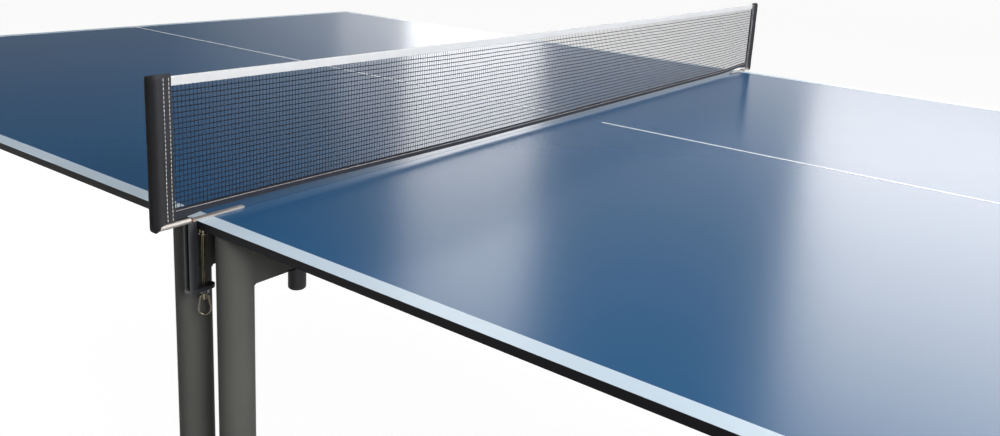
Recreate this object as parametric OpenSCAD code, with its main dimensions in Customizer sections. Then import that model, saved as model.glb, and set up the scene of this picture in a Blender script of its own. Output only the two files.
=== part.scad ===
// Two-piece ping pong table with folding leg frames and a clamp-on net.
// Origin on the floor under the middle of the net, +X along the table, +Z up, front at -Y.
// Each half is drawn for +X and mirrored for -X, and each net clamp is drawn for -Y.

/* [Table top] */
// Length of the whole playing surface
table_l = 2740; // [2600:10:2900]
// Width of the playing surface
table_w = 1525; // [1450:5:1600]
// Height of the playing surface above the floor
table_h = 760; // [700:5:800]
// Thickness of each board
board_t = 9; // [8:1:12]
// Thickness of the black band round the edge of each board
band_t = 1; // [0.6:0.1:2]
// Gap between the two halves where they meet under the net
halves_gap = 0.6; // [0.2:0.1:1]
// Width of the white side and end lines
side_line_w = 20; // [15:1:25]
// Width of the line down the middle of the table
centre_line_w = 5; // [2:0.5:8]
// Distance from the joint of the halves at which that line starts
centre_line_in = 57; // [1:1:80]
// Thickness of the paint film of the lines
line_t = 0.2; // [0.1:0.1:0.4]

/* [Leg frames] */
// Outer diameter of a leg tube
leg_d = 40; // [36:1:44]
// Wall of a leg tube
leg_wall = 1.5; // [1:0.5:3]
// Distance from the joint of the halves to the axis of the legs beside it
net_leg_x = 38; // [37:1:60]
// Distance from the long edge to the axis of the legs beside the net
net_leg_inset = 21; // [21:1:40]
// Distance from the end of the table to the axis of the end legs
end_leg_in = 70; // [60:5:120]
// Distance from the long edge to the axis of the end legs
end_leg_inset = 86; // [84:1:110]
// Width of the cross tube of a leg frame
cross_w = 25; // [20:1:30]
// Height of the cross tube of a leg frame
cross_h = 60; // [50:1:62]
// Wall of the cross tube
cross_wall = 1.5; // [1:0.5:3]
// Gap between the cross tube and the board above it
cross_gap = 1; // [0.5:0.5:3]

/* [Feet and plugs] */
// Thickness of the rubber wall round the foot of a leg
foot_wall = 3; // [2:0.5:4]
// Height of a rubber foot
foot_h = 38; // [30:1:60]
// Rubber under the end of the tube
foot_sole = 8; // [5:1:12]
// Flange thickness of the plug in the top of a leg
plug_t = 3; // [2:0.5:5]
// Length of the plug inside the leg
plug_l = 18; // [10:1:30]
// Diameter of the rubber buffer under the cross tube beside the net
buffer_d = 21; // [14:1:24]
// Length of that buffer
buffer_l = 30.5; // [15:0.5:40]
// Distance of that buffer from the long edge
buffer_in = 107; // [95:0.5:120]

/* [Folding hinge] */
// Distance of the fold pivot below the board
pivot_drop = 40; // [38:1:42]
// Distance of the fold pivot beyond the side of the leg
pivot_clear = 40; // [39:1:46]
// Diameter of the pivot bolt and of the clamping stud
bolt_d = 8; // [6:1:8]
// Distance of the hinge brackets from the long edge
bracket_in = 202.5; // [200:0.5:240]
// Thickness of a bracket cheek
cheek_t = 3; // [2:0.5:4]
// Outer radius of the bracket round its pivot
cheek_r = 44; // [42:1:45]
// Distance that the bracket reaches past its pivot towards the cross tube
cheek_back = 22; // [20:1:26]
// Thickness of the bracket's base plate
base_t = 3; // [2:0.5:4]
// Width of the bracket's base plate
base_w = 46; // [40:1:50]
// Thickness of the lug welded to the cross tube
lug_t = 6; // [5:0.5:8]
// Gap on each side of the lug
lug_gap = 0.5; // [0.3:0.1:0.8]
// Radius of the curved slot round the pivot
slot_r = 32; // [31:0.5:33]
// Diameter of the clamping knob
knob_d = 40; // [30:1:42]
// Height of the clamping knob
knob_h = 12; // [8:1:18]

/* [Support rails] */
// Side of the square rails under the board
rail_w = 25; // [20:1:30]
// Wall of the rails
rail_wall = 1.5; // [1:0.5:3]
// Distance of the long rails from the long edge
rail_in = 162.5; // [155:0.5:164]
// Clear length between a long rail and the leg axis at each end
rail_end = 77; // [70:1:150]
// Distance of the cross rails from the middle of a half
cross_rail_x = 265; // [150:5:400]
// Thickness of the caps on the ends of the long rails
cap_t = 2.5; // [2:0.5:4]
// Length of the part of a cap inside the rail
cap_l = 12; // [8:1:20]

/* [Net] */
// Height of the top of the net above the table
net_h = 159.5; // [150:0.5:165]
// Sag of the top of the net at the middle
net_sag = 3; // [0:0.5:8]
// Distance of the post axis beyond the long edge
post_out = 48; // [40:1:70]
// Diameter of the post rod
post_d = 6; // [5:0.5:8]
// Bend radius of the post rod, to its axis
post_bend = 6; // [6:0.5:8]
// Height of the white tape
tape_h = 10.3; // [8:0.1:16]
// Thickness of the folded tape
tape_t = 2.6; // [2:0.1:4]
// Height of the hem along the bottom of the net
hem_h = 11; // [8:0.5:16]
// Thickness of the hem
hem_t = 2; // [1.4:0.1:3]
// Thickness of the netting
mesh_t = 1.2; // [0.8:0.1:2]
// Width of the sleeve over a post
sleeve_w = 30; // [26:0.5:36]
// Cloth and padding round the post inside the sleeve
sleeve_wall = 2.2; // [1.5:0.1:3]
// Thickness of the stitched flap of the sleeve
flap_t = 3.2; // [2.8:0.1:5]

/* [Net clamp] */
// Width of the plate that lies on the table
plate_w = 20; // [16:1:30]
// Length of that plate
plate_l = 67; // [50:1:90]
// How far that plate reaches past the web of the upright
plate_past = 1.7; // [0.5:0.1:3]
// Thickness of that plate
plate_t = 2; // [1.5:0.5:3]
// Gap between the upright of the clamp and the edge of the table
upright_gap = 2.3; // [1.5:0.1:4]
// Depth of the upright channel
upright_d = 9.7; // [8:0.1:14]
// Width of the upright channel
upright_w = 10; // [9:0.5:14]
// Wall of the upright channel
upright_wall = 1.5; // [1:0.25:1.75]
// Distance from the top of the table to the top of the arm
arm_drop = 77; // [70:1:90]
// Thickness of the arm under the table
arm_t = 4.6; // [4:0.2:8]
// Width of the arm
arm_w = 12; // [11:0.5:16]
// Length of the arm from the outside of the upright to its round end
arm_l = 33; // [31:0.5:45]
// Distance of the screw axis inside the edge of the table
screw_in = 8.7; // [8:0.1:12]
// Diameter of the clamp screw
screw_d = 5; // [4.5:0.5:6]
// Length of the screw below the pressure pad
screw_l = 76; // [70:1:90]
// Diameter of the pressure pad
pad_d = 10; // [9:0.5:14]
// Height of the pressure pad
pad_h = 8.5; // [7:0.5:12]
// Diameter of the wire of the screw's loop
wire_d = 1.8; // [1.4:0.1:2]
// Width of the loop, wire included
loop_w = 15; // [14:0.5:20]
// Length of the loop from its pivot to its lowest point
loop_l = 23; // [20:0.5:26]
// Turn of the screw and its loop away from the line across the table
loop_turn = 50; // [0:5:90]

/* [Hidden] */
$fn = 64;

// Names for the two halves, the two frames of a half and the two long sides
left = -1;
right = 1;
net_side = 0;
end_side = 1;
front = -1;
back = 1;

// Small clearances
cut = 1;
seat = 0.3;
run = 0.05;
slack = 0.8;

// Table
half_l = table_l / 2;
edge_y = table_w / 2;
under_z = table_h - board_t;

// Leg frames
leg_r = leg_d / 2;
leg_top = under_z - seat;
buffer_y = edge_y - buffer_in;
bracket_y = edge_y - bracket_in;
rail_y = edge_y - rail_in;
cross_top = under_z - cross_gap;
cross_z = cross_top - cross_h;
tube_face = cross_w / 2;

// Folding hinge, drawn round its pivot
pivot_x = leg_r + pivot_clear;
pivot_z = under_z - pivot_drop;
bolt_r = bolt_d / 2;
slot_start = -100;
slot_end = slot_start + 90;
slot_half = bolt_r + seat;
cheek_y = lug_t / 2 + lug_gap + cheek_t / 2;
bracket_half = cheek_y + cheek_t / 2;
stud_x = slot_r * cos(slot_start);
stud_z = slot_r * sin(slot_start);
hole_r = 2.6;
hole_head_r = 4.6;
hole_in = 8;
base_past = 12;

// Net
net_top = table_h + net_h;
post_y = edge_y + post_out;
post_r = post_d / 2;
plate_z = table_h + line_t;
plate_end = edge_y + upright_gap + upright_wall + plate_past;
rod_z = plate_z + plate_t / 2;
post_top = net_top + 1.2;
sleeve_r = post_r + sleeve_wall;
sleeve_in = post_y + sleeve_r - sleeve_w;
sleeve_top = post_top + 1.8;
hem_z = rod_z + post_r + slack;
net_steps = 12;

// Net clamp
upright_out = edge_y + upright_gap + upright_d;
arm_z = table_h - arm_drop;
screw_y = edge_y - screw_in;
screw_r = screw_d / 2;
screw_tip_r = screw_r - 0.5;
screw_tip_l = 5;
pad_r = pad_d / 2;
pad_neck_r = 0.76 * pad_r;
pad_z = under_z - 2 * run - pad_h;
screw_top = pad_z - seat;
loop_hole = 4;
loop_z = screw_top - screw_l + loop_hole;
wire_r = wire_d / 2;

// ---- helpers ----

// Puts what is drawn for +X on the half that is asked for
module on_half(half) {
    if (half == left) mirror([1, 0, 0]) children();
    else children();
}

// Puts what is drawn for the front on the side that is asked for
module on_side(side) {
    if (side == back) mirror([0, 1, 0]) children();
    else children();
}

// Moves to the leg axis line of a frame, with the fold towards local +X
module on_frame(half, frame) {
    on_half(half)
        if (frame == net_side) translate([net_leg_x, 0, 0]) children();
        else translate([half_l - end_leg_in, 0, 0]) mirror([1, 0, 0]) children();
}

function frame_y(frame) = edge_y - (frame == net_side ? net_leg_inset : end_leg_inset);

// A box from its lowest corner to its highest
module box(low, high) {
    translate(low) cube(high - low);
}

// A plate standing in the XZ plane, centred on Y
module plate_xz(thickness, outline) {
    rotate([90, 0, 0]) translate([0, 0, -thickness / 2]) linear_extrude(thickness) polygon(outline);
}

// A round bar along Y, centred on Y
module bar_y(r, length, sides = 64) {
    rotate([90, 0, 0]) translate([0, 0, -length / 2]) cylinder(r = r, h = length, $fn = sides);
}

// ---- table top ----

module top(half) {
    color("steelblue") on_half(half)
        box([halves_gap / 2 + band_t, band_t - edge_y, under_z],
            [half_l - band_t, edge_y - band_t, table_h]);
}

module edge_band(half) {
    color("black") on_half(half) difference() {
        box([halves_gap / 2, -edge_y, under_z], [half_l, edge_y, table_h]);
        box([halves_gap / 2 + band_t, band_t - edge_y, under_z - cut],
            [half_l - band_t, edge_y - band_t, table_h + cut]);
    }
}

module court_lines(half) {
    color("white") on_half(half) {
        difference() {
            box([halves_gap / 2, -edge_y, table_h], [half_l, edge_y, table_h + line_t]);
            box([-cut, side_line_w - edge_y, table_h - cut],
                [half_l - side_line_w, edge_y - side_line_w, table_h + cut]);
        }
        box([centre_line_in, -centre_line_w / 2, table_h],
            [half_l - side_line_w / 2, centre_line_w / 2, table_h + line_t]);
    }
}

// A square tube along X or Y, between two corners
module square_tube(low, high, along_x) {
    wall = [along_x ? -cut : rail_wall, along_x ? rail_wall : -cut, rail_wall];
    difference() {
        box(low, high);
        box(low + wall, high - wall);
    }
}

module side_rails() {
    color("dimgray") for (half = [left, right], side = [front, back])
        on_half(half) on_side(side)
            square_tube([net_leg_x + rail_end, -rail_y - rail_w / 2, under_z - rail_w],
                        [half_l - end_leg_in - rail_end, -rail_y + rail_w / 2, under_z], true);
}

// Plastic caps in the open ends of the long rails
module rail_end_caps() {
    half_w = rail_w / 2;
    half_in = half_w - rail_wall - seat;
    middle_z = under_z - half_w;
    ends = [net_leg_x + rail_end, half_l - end_leg_in - rail_end];
    color("black") for (half = [left, right], side = [front, back], end = [0, 1])
        on_half(half) on_side(side)
            translate([ends[end], -rail_y, middle_z]) mirror([end, 0, 0]) {
                box([-cap_t, -half_w, -half_w], [0, half_w, half_w]);
                box([-cut, -half_in, -half_in], [cap_l, half_in, half_in]);
            }
}

module cross_rails() {
    reach = rail_y - rail_w / 2;
    color("dimgray") for (half = [left, right], step = [-1, 1])
        on_half(half)
            translate([half_l / 2 + step * cross_rail_x, 0, 0])
                square_tube([-rail_w / 2, -reach, under_z - rail_w], [rail_w / 2, reach, under_z], false);
}

// ---- folding hinge ----

// The curved slot of a bracket cheek, round the pivot
module arc_slot() {
    far = 2 * cheek_r;
    wedge = [[0, 0], for (step = [0 : 2]) let (a = slot_start + 45 * step) far * [cos(a), sin(a)]];
    intersection() {
        difference() {
            bar_y(slot_r + slot_half, 2 * cheek_t);
            bar_y(slot_r - slot_half, 3 * cheek_t);
        }
        plate_xz(2 * cheek_t, wedge);
    }
    for (a = [slot_start, slot_end])
        translate([slot_r * cos(a), 0, slot_r * sin(a)]) bar_y(slot_half, 2 * cheek_t);
}

// One side of a bracket: a plate with a round lower edge, a pivot hole and the curved slot
module cheek() {
    top_z = pivot_drop - base_t / 2;
    difference() {
        union() {
            box([-cheek_back, -cheek_t / 2, 0], [cheek_r, cheek_t / 2, top_z]);
            intersection() {
                bar_y(cheek_r, cheek_t);
                box([-cheek_back, -cheek_t, -cheek_r - cut], [cheek_r + cut, cheek_t, cut]);
            }
        }
        bar_y(bolt_r + run, 2 * cheek_t);
        arc_slot();
    }
}

// Bracket with a base plate under the board, four countersunk screw holes and two cheeks
module bracket() {
    base_end = cheek_r + base_past;
    hole_y = base_w / 2 - hole_in;
    difference() {
        box([-cheek_back, -base_w / 2, pivot_drop - base_t], [base_end, base_w / 2, pivot_drop]);
        for (x = [hole_in - cheek_back, base_end - hole_in], y = [-hole_y, hole_y])
            translate([x, y, pivot_drop - base_t]) {
                translate([0, 0, -cut]) cylinder(r = hole_r, h = base_t + 2 * cut);
                cylinder(r1 = hole_head_r, r2 = hole_r, h = hole_head_r - hole_r);
            }
    }
    for (side = [front, back]) translate([0, side * cheek_y, 0]) cheek();
}

// Moves to the pivot of one hinge bracket
module at_bracket(half, frame, side) {
    on_frame(half, frame) on_side(side) translate([pivot_x, -bracket_y, pivot_z]) children();
}

module hinge_brackets() {
    color("gray") for (half = [left, right], frame = [net_side, end_side], side = [front, back])
        at_bracket(half, frame, side) bracket();
}

// Hexagon bolt through both cheeks, with two washers and a nut
module pivot_bolt() {
    head = 0.65 * bolt_d;
    nut = 0.8 * bolt_d;
    hex_r = 0.94 * bolt_d;
    washer = 1.6;
    bolt_end = 4;
    outside = bracket_half + washer;
    bar_y(bolt_r, 2 * outside + cut);
    for (side = [front, back])
        translate([0, side * (outside - washer / 2), 0]) bar_y(bolt_d, washer);
    translate([0, -outside - head / 2, 0]) bar_y(hex_r, head, 6);
    translate([0, outside + nut / 2, 0]) bar_y(hex_r, nut, 6);
    translate([0, outside + nut, 0]) bar_y(bolt_r, bolt_end);
}

module pivot_bolts() {
    color("silver") for (half = [left, right], frame = [net_side, end_side], side = [front, back])
        at_bracket(half, frame, side) pivot_bolt();
}

// Outline of the lug round its pivot: a tapered arm to the cross tube and a strap to the stud
module lug_outline() {
    boss_r = 13;
    neck_half = boss_r - 1;
    eye_r = 10;
    strap_half = eye_r - 1;
    weld_half = 20;
    weld_x = tube_face - pivot_x - cross_wall / 2;
    polygon([[weld_x, -weld_half], [weld_x, weld_half], [0, neck_half], [0, -neck_half]]);
    circle(r = boss_r);
    rotate(slot_start) translate([0, -strap_half]) square([slot_r, 2 * strap_half]);
    translate([stud_x, stud_z]) circle(r = eye_r);
}

// The plate on the cross tube that turns between the cheeks of a bracket
module lug() {
    difference() {
        rotate([90, 0, 0]) translate([0, 0, -lug_t / 2]) linear_extrude(lug_t) lug_outline();
        bar_y(bolt_r + run, 2 * lug_t);
        translate([stud_x, 0, stud_z]) bar_y(bolt_r + run, 2 * lug_t);
    }
}

// Outline of the knob: five round lobes on a round middle
module knob_outline() {
    lobe = 0.17 * knob_d;
    lobes = 5;
    circle(r = knob_d / 2 - lobe);
    for (turn = [1 : lobes]) rotate(turn * 360 / lobes) translate([knob_d / 2 - lobe, 0]) circle(r = lobe);
}

// Lobed clamping knob with its collar and the stud that slides along the curved slot
module knob(half, frame, side) {
    collar = 5;
    tail = 2;
    base = bracket_half + seat;
    color("black") at_bracket(half, frame, side) translate([stud_x, 0, stud_z]) rotate([-90, 0, 0]) {
        translate([0, 0, -bracket_half - tail]) cylinder(r = bolt_r, h = bracket_half + tail + base);
        translate([0, 0, base]) cylinder(r = bolt_d + 1, h = collar);
        translate([0, 0, base + collar]) linear_extrude(knob_h) knob_outline();
    }
}

// ---- leg frames ----

module leg(half, frame, side) {
    color("dimgray") on_frame(half, frame) on_side(side) translate([0, -frame_y(frame), foot_sole])
        difference() {
            cylinder(r = leg_r, h = leg_top - plug_t - foot_sole);
            translate([0, 0, -cut]) cylinder(r = leg_r - leg_wall, h = leg_top);
        }
}

module cross_tube(half, frame) {
    y = frame_y(frame);
    color("dimgray") on_frame(half, frame) {
        difference() {
            box([-tube_face, -y, cross_z], [tube_face, y, cross_top]);
            box([cross_wall - tube_face, -y - cut, cross_z + cross_wall],
                [tube_face - cross_wall, y + cut, cross_top - cross_wall]);
            for (side = [front, back])
                translate([0, side * y, cross_z - cut]) cylinder(r = leg_r, h = cross_h + 2 * cut);
        }
        for (side = [front, back]) on_side(side) translate([pivot_x, -bracket_y, pivot_z]) lug();
    }
}

module leg_plugs(half, frame) {
    bevel = 1;
    stem_r = leg_r - leg_wall - seat;
    profile = [[0, -plug_l], [stem_r - bevel, -plug_l], [stem_r, bevel - plug_l], [stem_r, 0], [leg_r, 0],
               [leg_r, plug_t - bevel], [leg_r - bevel, plug_t], [0, plug_t]];
    color("black") on_frame(half, frame) for (side = [front, back]) on_side(side)
        translate([0, -frame_y(frame), leg_top - plug_t]) rotate_extrude() polygon(profile);
}

// Rubber feet with three grooves round each, as one turned outline
module feet(half, frame) {
    r = leg_r + foot_wall;
    inside = leg_r + 2 * run;
    bevel = 2;
    groove = 1;
    pitch = foot_h / 5;
    ribs = [for (ring = [1.5 : 3.5]) let (z = pitch * ring)
            each [[r, z], [r - groove, z + groove], [r - groove, z + 2 * groove], [r, z + 3 * groove]]];
    profile = concat([[0, 0], [r - bevel, 0], [r, bevel]], ribs,
                     [[r, foot_h - bevel], [r - bevel, foot_h], [inside, foot_h], [inside, foot_sole],
                      [0, foot_sole]]);
    color("black") on_frame(half, frame) for (side = [front, back]) on_side(side)
        translate([0, -frame_y(frame), 0]) rotate_extrude() polygon(profile);
}

module buffers(half) {
    r = buffer_d / 2;
    corner = 3;
    arc = [for (a = [0 : 15 : 90]) [r - corner + corner * sin(a), corner - corner * cos(a)]];
    color("black") on_frame(half, net_side) for (side = [front, back]) on_side(side)
        translate([0, -buffer_y, cross_z - buffer_l])
            rotate_extrude() polygon(concat([[0, 0]], arc, [[r, buffer_l], [0, buffer_l]]));
}

// ---- net ----

function sag_at(t) = net_sag * (1 - t * t);

// Points along the top of the net, lowered by drop, from the front to the back
function net_edge(drop) = [for (step = [-net_steps : net_steps]) let (t = step / net_steps)
    [t * sleeve_in, net_top - drop - sag_at(t)]];

// A sheet in the YZ plane, centred on X
module sheet_yz(thickness, outline) {
    rotate([90, 0, 90]) translate([0, 0, -thickness / 2]) linear_extrude(thickness) polygon(outline);
}

module net_tape() {
    low = net_edge(tape_h);
    color("white") sheet_yz(tape_t, concat(net_edge(0), [for (i = [2 * net_steps : -1 : 0]) low[i]]));
}

module net_mesh() {
    low = hem_z + hem_h;
    color("midnightblue")
        sheet_yz(mesh_t, concat(net_edge(tape_h), [[sleeve_in, low], [-sleeve_in, low]]));
}

module net_hem() {
    color("black") box([-hem_t / 2, -sleeve_in, hem_z], [hem_t / 2, sleeve_in, hem_z + hem_h]);
}

// Cloth sleeve over a post: closed at the top, forked at the bottom round the bend of the rod
module sleeve(side) {
    bore = post_r + seat;
    low = rod_z - post_r - 1;
    fork = rod_z + post_bend + 1.5;
    corner = 8;
    flap = flap_t / 2;
    flap_y = 11 - post_y;
    pocket = 0.8 * sleeve_r;
    pocket_y = 2 - post_y;
    taper = [[pocket, pocket_y], [flap, flap_y], [flap, -sleeve_in],
             [-flap, -sleeve_in], [-flap, flap_y], [-pocket, pocket_y]];
    color("black") on_side(side) difference() {
        translate([0, 0, low]) union() {
            translate([0, -post_y, 0]) cylinder(r = sleeve_r, h = sleeve_top - low);
            linear_extrude(sleeve_top - low) polygon(taper);
        }
        translate([0, -post_y, low - cut]) cylinder(r = bore, h = post_top + seat - low + cut);
        box([-bore, -post_y, low - cut], [bore, -sleeve_in + cut, fork]);
        box([-sleeve_r - cut, -post_y + corner, low - cut], [sleeve_r + cut, -sleeve_in + cut, hem_z]);
        difference() {
            box([-sleeve_r - cut, -post_y - sleeve_r - cut, low - cut],
                [sleeve_r + cut, -post_y - sleeve_r + corner, low + corner]);
            translate([0, -post_y - sleeve_r + corner, low + corner]) rotate([0, 90, 0])
                translate([0, 0, -sleeve_r - 2 * cut]) cylinder(r = corner, h = 2 * sleeve_r + 4 * cut);
        }
    }
}

// ---- net clamp ----

module post(side) {
    bend_y = post_y - post_bend;
    bend_z = rod_z + post_bend;
    color("silver") on_side(side) {
        translate([0, -post_y, bend_z]) cylinder(r = post_r, h = post_top - bend_z);
        translate([0, -bend_y, bend_z]) rotate([0, -90, 0]) rotate([0, 0, 180])
            rotate_extrude(angle = 90) translate([post_bend, 0]) circle(r = post_r);
        translate([0, -bend_y, rod_z]) rotate([-90, 0, 0]) cylinder(r = post_r, h = bend_y - plate_end);
    }
}

module clamp_plate(side) {
    corner = 4;
    far = plate_end - plate_l;
    color("tan") on_side(side) translate([0, 0, plate_z]) {
        box([-plate_w / 2, -plate_end, 0], [plate_w / 2, -far - corner, plate_t]);
        box([corner - plate_w / 2, -far - corner - cut, 0], [plate_w / 2 - corner, -far, plate_t]);
        for (x = [corner - plate_w / 2, plate_w / 2 - corner])
            translate([x, -far - corner, 0]) cylinder(r = corner, h = plate_t);
    }
}

module clamp_body(side) {
    half_w = upright_w / 2;
    round_y = upright_out - arm_l + arm_w / 2;
    nut_h = 5;
    color("dimgray") on_side(side) difference() {
        union() {
            difference() {
                box([-half_w, -upright_out, arm_z - arm_t / 2], [half_w, upright_d - upright_out, plate_z]);
                box([upright_wall - half_w, -upright_out - cut, arm_z],
                    [half_w - upright_wall, upright_d - upright_out - upright_wall, plate_z + cut]);
            }
            box([-arm_w / 2, -upright_out, arm_z - arm_t], [arm_w / 2, -round_y, arm_z]);
            translate([0, -round_y, arm_z - arm_t]) cylinder(r = arm_w / 2, h = arm_t);
            translate([0, -screw_y, arm_z - arm_t - nut_h]) cylinder(r = screw_d, h = nut_h + cut, $fn = 6);
        }
        translate([0, -screw_y, arm_z - arm_t - nut_h - cut])
            cylinder(r = screw_r + run, h = nut_h + arm_t + 2 * cut);
    }
}

module clamp_screw(side) {
    low = screw_top - screw_l;
    color("silver") on_side(side) translate([0, -screw_y, 0]) rotate(loop_turn) difference() {
        union() {
            translate([0, 0, low]) cylinder(r = screw_r, h = screw_l);
            translate([0, 0, screw_top - run]) cylinder(r = screw_tip_r, h = screw_tip_l);
        }
        translate([-screw_d, 0, loop_z]) rotate([0, 90, 0]) cylinder(r = wire_r + run, h = 2 * screw_d);
    }
}

module pressure_pad(side) {
    flange = 1.6;
    color("gray") on_side(side) translate([0, -screw_y, pad_z]) difference() {
        union() {
            cylinder(r = pad_r, h = flange);
            cylinder(r = pad_neck_r, h = pad_h);
            translate([0, 0, pad_h - flange]) cylinder(r = pad_r, h = flange);
        }
        translate([0, 0, -cut]) cylinder(r = screw_tip_r + run, h = screw_tip_l + cut);
    }
}

module screw_loop(side) {
    neck = screw_r + wire_r + 2 * seat;
    ring = loop_w / 2 - wire_r;
    ring_z = loop_z - loop_l + ring + wire_r;
    drop = loop_z - ring_z;
    lean = atan2(ring - neck, drop);
    color("silver") on_side(side) translate([0, -screw_y, 0]) rotate(loop_turn) {
        translate([-neck, 0, loop_z]) rotate([0, 90, 0]) cylinder(r = wire_r, h = 2 * neck);
        for (x = [-1, 1]) {
            translate([x * neck, 0, loop_z]) sphere(r = wire_r);
            translate([x * neck, 0, loop_z]) rotate([0, 180 - x * lean, 0])
                cylinder(r = wire_r, h = norm([ring - neck, drop]));
        }
        translate([0, 0, ring_z]) rotate([90, 0, 0]) rotate([0, 0, 180])
            rotate_extrude(angle = 180) translate([ring, 0]) circle(r = wire_r);
    }
}

top(left);  // left_top
top(right);  // right_top
edge_band(left);  // left_edge_band
edge_band(right);  // right_edge_band
court_lines(left);  // left_court_lines
court_lines(right);  // right_court_lines
side_rails();
rail_end_caps();
cross_rails();
hinge_brackets();
pivot_bolts();
leg(left, net_side, front);  // left_net_front_leg
leg(left, net_side, back);  // left_net_back_leg
cross_tube(left, net_side);  // left_net_cross_tube
leg_plugs(left, net_side);  // left_net_leg_plugs
feet(left, net_side);  // left_net_feet
buffers(left);  // left_net_buffers
leg(left, end_side, front);  // left_end_front_leg
leg(left, end_side, back);  // left_end_back_leg
cross_tube(left, end_side);  // left_end_cross_tube
leg_plugs(left, end_side);  // left_end_leg_plugs
feet(left, end_side);  // left_end_feet
leg(right, net_side, front);  // right_net_front_leg
leg(right, net_side, back);  // right_net_back_leg
cross_tube(right, net_side);  // right_net_cross_tube
leg_plugs(right, net_side);  // right_net_leg_plugs
feet(right, net_side);  // right_net_feet
buffers(right);  // right_net_buffers
leg(right, end_side, front);  // right_end_front_leg
leg(right, end_side, back);  // right_end_back_leg
cross_tube(right, end_side);  // right_end_cross_tube
leg_plugs(right, end_side);  // right_end_leg_plugs
feet(right, end_side);  // right_end_feet
knob(left, net_side, front);  // left_net_front_knob
knob(left, net_side, back);  // left_net_back_knob
knob(left, end_side, front);  // left_end_front_knob
knob(left, end_side, back);  // left_end_back_knob
knob(right, net_side, front);  // right_net_front_knob
knob(right, net_side, back);  // right_net_back_knob
knob(right, end_side, front);  // right_end_front_knob
knob(right, end_side, back);  // right_end_back_knob
net_mesh();
net_tape();
net_hem();
sleeve(front);  // front_sleeve
sleeve(back);  // back_sleeve
post(front);  // front_post
post(back);  // back_post
clamp_plate(front);  // front_clamp_plate
clamp_plate(back);  // back_clamp_plate
clamp_body(front);  // front_clamp_body
clamp_body(back);  // back_clamp_body
clamp_screw(front);  // front_clamp_screw
clamp_screw(back);  // back_clamp_screw
pressure_pad(front);  // front_pressure_pad
pressure_pad(back);  // back_pressure_pad
screw_loop(front);  // front_screw_loop
screw_loop(back);  // back_screw_loop
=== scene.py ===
"""Dresses a two-piece ping pong table: paint, plating, rubber, the knotted net, its tape and its sleeves.

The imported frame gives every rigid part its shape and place. Each sub-assembly below is a class that
holds its own sizes, adds the pieces that the frame leaves out and gives every part its finish.
Lengths are in metres. +X runs along the table, +Y across it from the front, and +Z is up.
"""

import logging
import math
from contextlib import contextmanager
from dataclasses import dataclass
from enum import Enum
from typing import Callable, Iterable, Iterator, Sequence

import bpy
from mathutils import Matrix, Vector, noise


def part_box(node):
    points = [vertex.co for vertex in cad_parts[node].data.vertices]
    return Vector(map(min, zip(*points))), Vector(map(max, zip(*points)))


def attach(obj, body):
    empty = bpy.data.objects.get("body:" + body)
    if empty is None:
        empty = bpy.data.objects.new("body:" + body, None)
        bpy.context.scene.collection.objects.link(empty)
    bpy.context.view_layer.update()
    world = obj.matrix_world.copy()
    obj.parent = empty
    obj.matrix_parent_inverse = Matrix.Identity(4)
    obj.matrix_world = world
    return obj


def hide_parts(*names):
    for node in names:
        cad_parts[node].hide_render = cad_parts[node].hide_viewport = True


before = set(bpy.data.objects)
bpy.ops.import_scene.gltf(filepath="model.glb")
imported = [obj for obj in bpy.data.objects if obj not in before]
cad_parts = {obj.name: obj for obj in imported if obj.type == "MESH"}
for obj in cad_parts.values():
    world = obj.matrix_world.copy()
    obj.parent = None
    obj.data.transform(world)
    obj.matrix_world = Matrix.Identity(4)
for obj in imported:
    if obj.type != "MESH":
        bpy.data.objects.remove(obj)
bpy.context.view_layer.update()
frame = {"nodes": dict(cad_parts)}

log = logging.getLogger("ping_pong_table")
Piece = bpy.types.Object
Socket = bpy.types.NodeSocket
Colour = tuple[float, float, float]
NODES: dict[str, Piece] = frame["nodes"]
MM = 0.001

# Lengths that differ by less than this are the same.
SAME = 1e-6

# Faces that meet at less than this many degrees are one flat face.
FLAT_ENOUGH = 1.0

# Cells across each flat layer of a folded cloth, and round a narrow bend of it.
LAYER_CELLS = 12
BEND_CELLS = 8

WHITE: Colour = (1.0, 1.0, 1.0)


class Half(Enum):
    """The two halves of the table."""

    LEFT = "left"
    RIGHT = "right"


class Frame(Enum):
    """The two leg frames under each half."""

    NET = "net"
    END = "end"


class Side(Enum):
    """The two long sides of the table."""

    FRONT = "front"
    BACK = "back"

    @property
    def sign(self) -> int:
        """Return the direction from the middle of the table along Y: -1 for the front and 1 for the back."""
        return -1 if self is Side.FRONT else 1


class Sharpest(Enum):
    """The sharpest edge, in degrees, that is still shaded smooth on each kind of surface."""

    SCREW = 30.0
    STEEL = 35.0
    TUBE = 40.0
    CLOTH = 50.0
    WELD = 60.0
    ROUND = 80.0


# ---------------------------------------------------------------- modelling helpers


def deselect() -> None:
    """Leave edit mode and clear the selection."""
    if bpy.context.mode != "OBJECT":
        bpy.ops.object.mode_set(mode="OBJECT")
    bpy.ops.object.select_all(action="DESELECT")


def select_only(piece: Piece) -> None:
    """Make a piece the only selected object and the active one."""
    deselect()
    piece.select_set(True)
    bpy.context.view_layer.objects.active = piece


@contextmanager
def editing(piece: Piece) -> Iterator[None]:
    """Open a piece for editing with all of it selected, and close it afterwards."""
    select_only(piece)
    bpy.ops.object.mode_set(mode="EDIT")
    bpy.ops.mesh.select_all(action="SELECT")
    yield
    bpy.ops.object.mode_set(mode="OBJECT")


def settle(name: str) -> Piece:
    """Name the piece just made, and write its place into its mesh.

    Args:
        name: The piece's name.

    Returns:
        The piece, at the origin, unturned and unscaled.
    """
    piece = bpy.context.object
    piece.name = piece.data.name = name
    bpy.ops.object.transform_apply(location=True, rotation=True, scale=True)
    return piece


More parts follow.
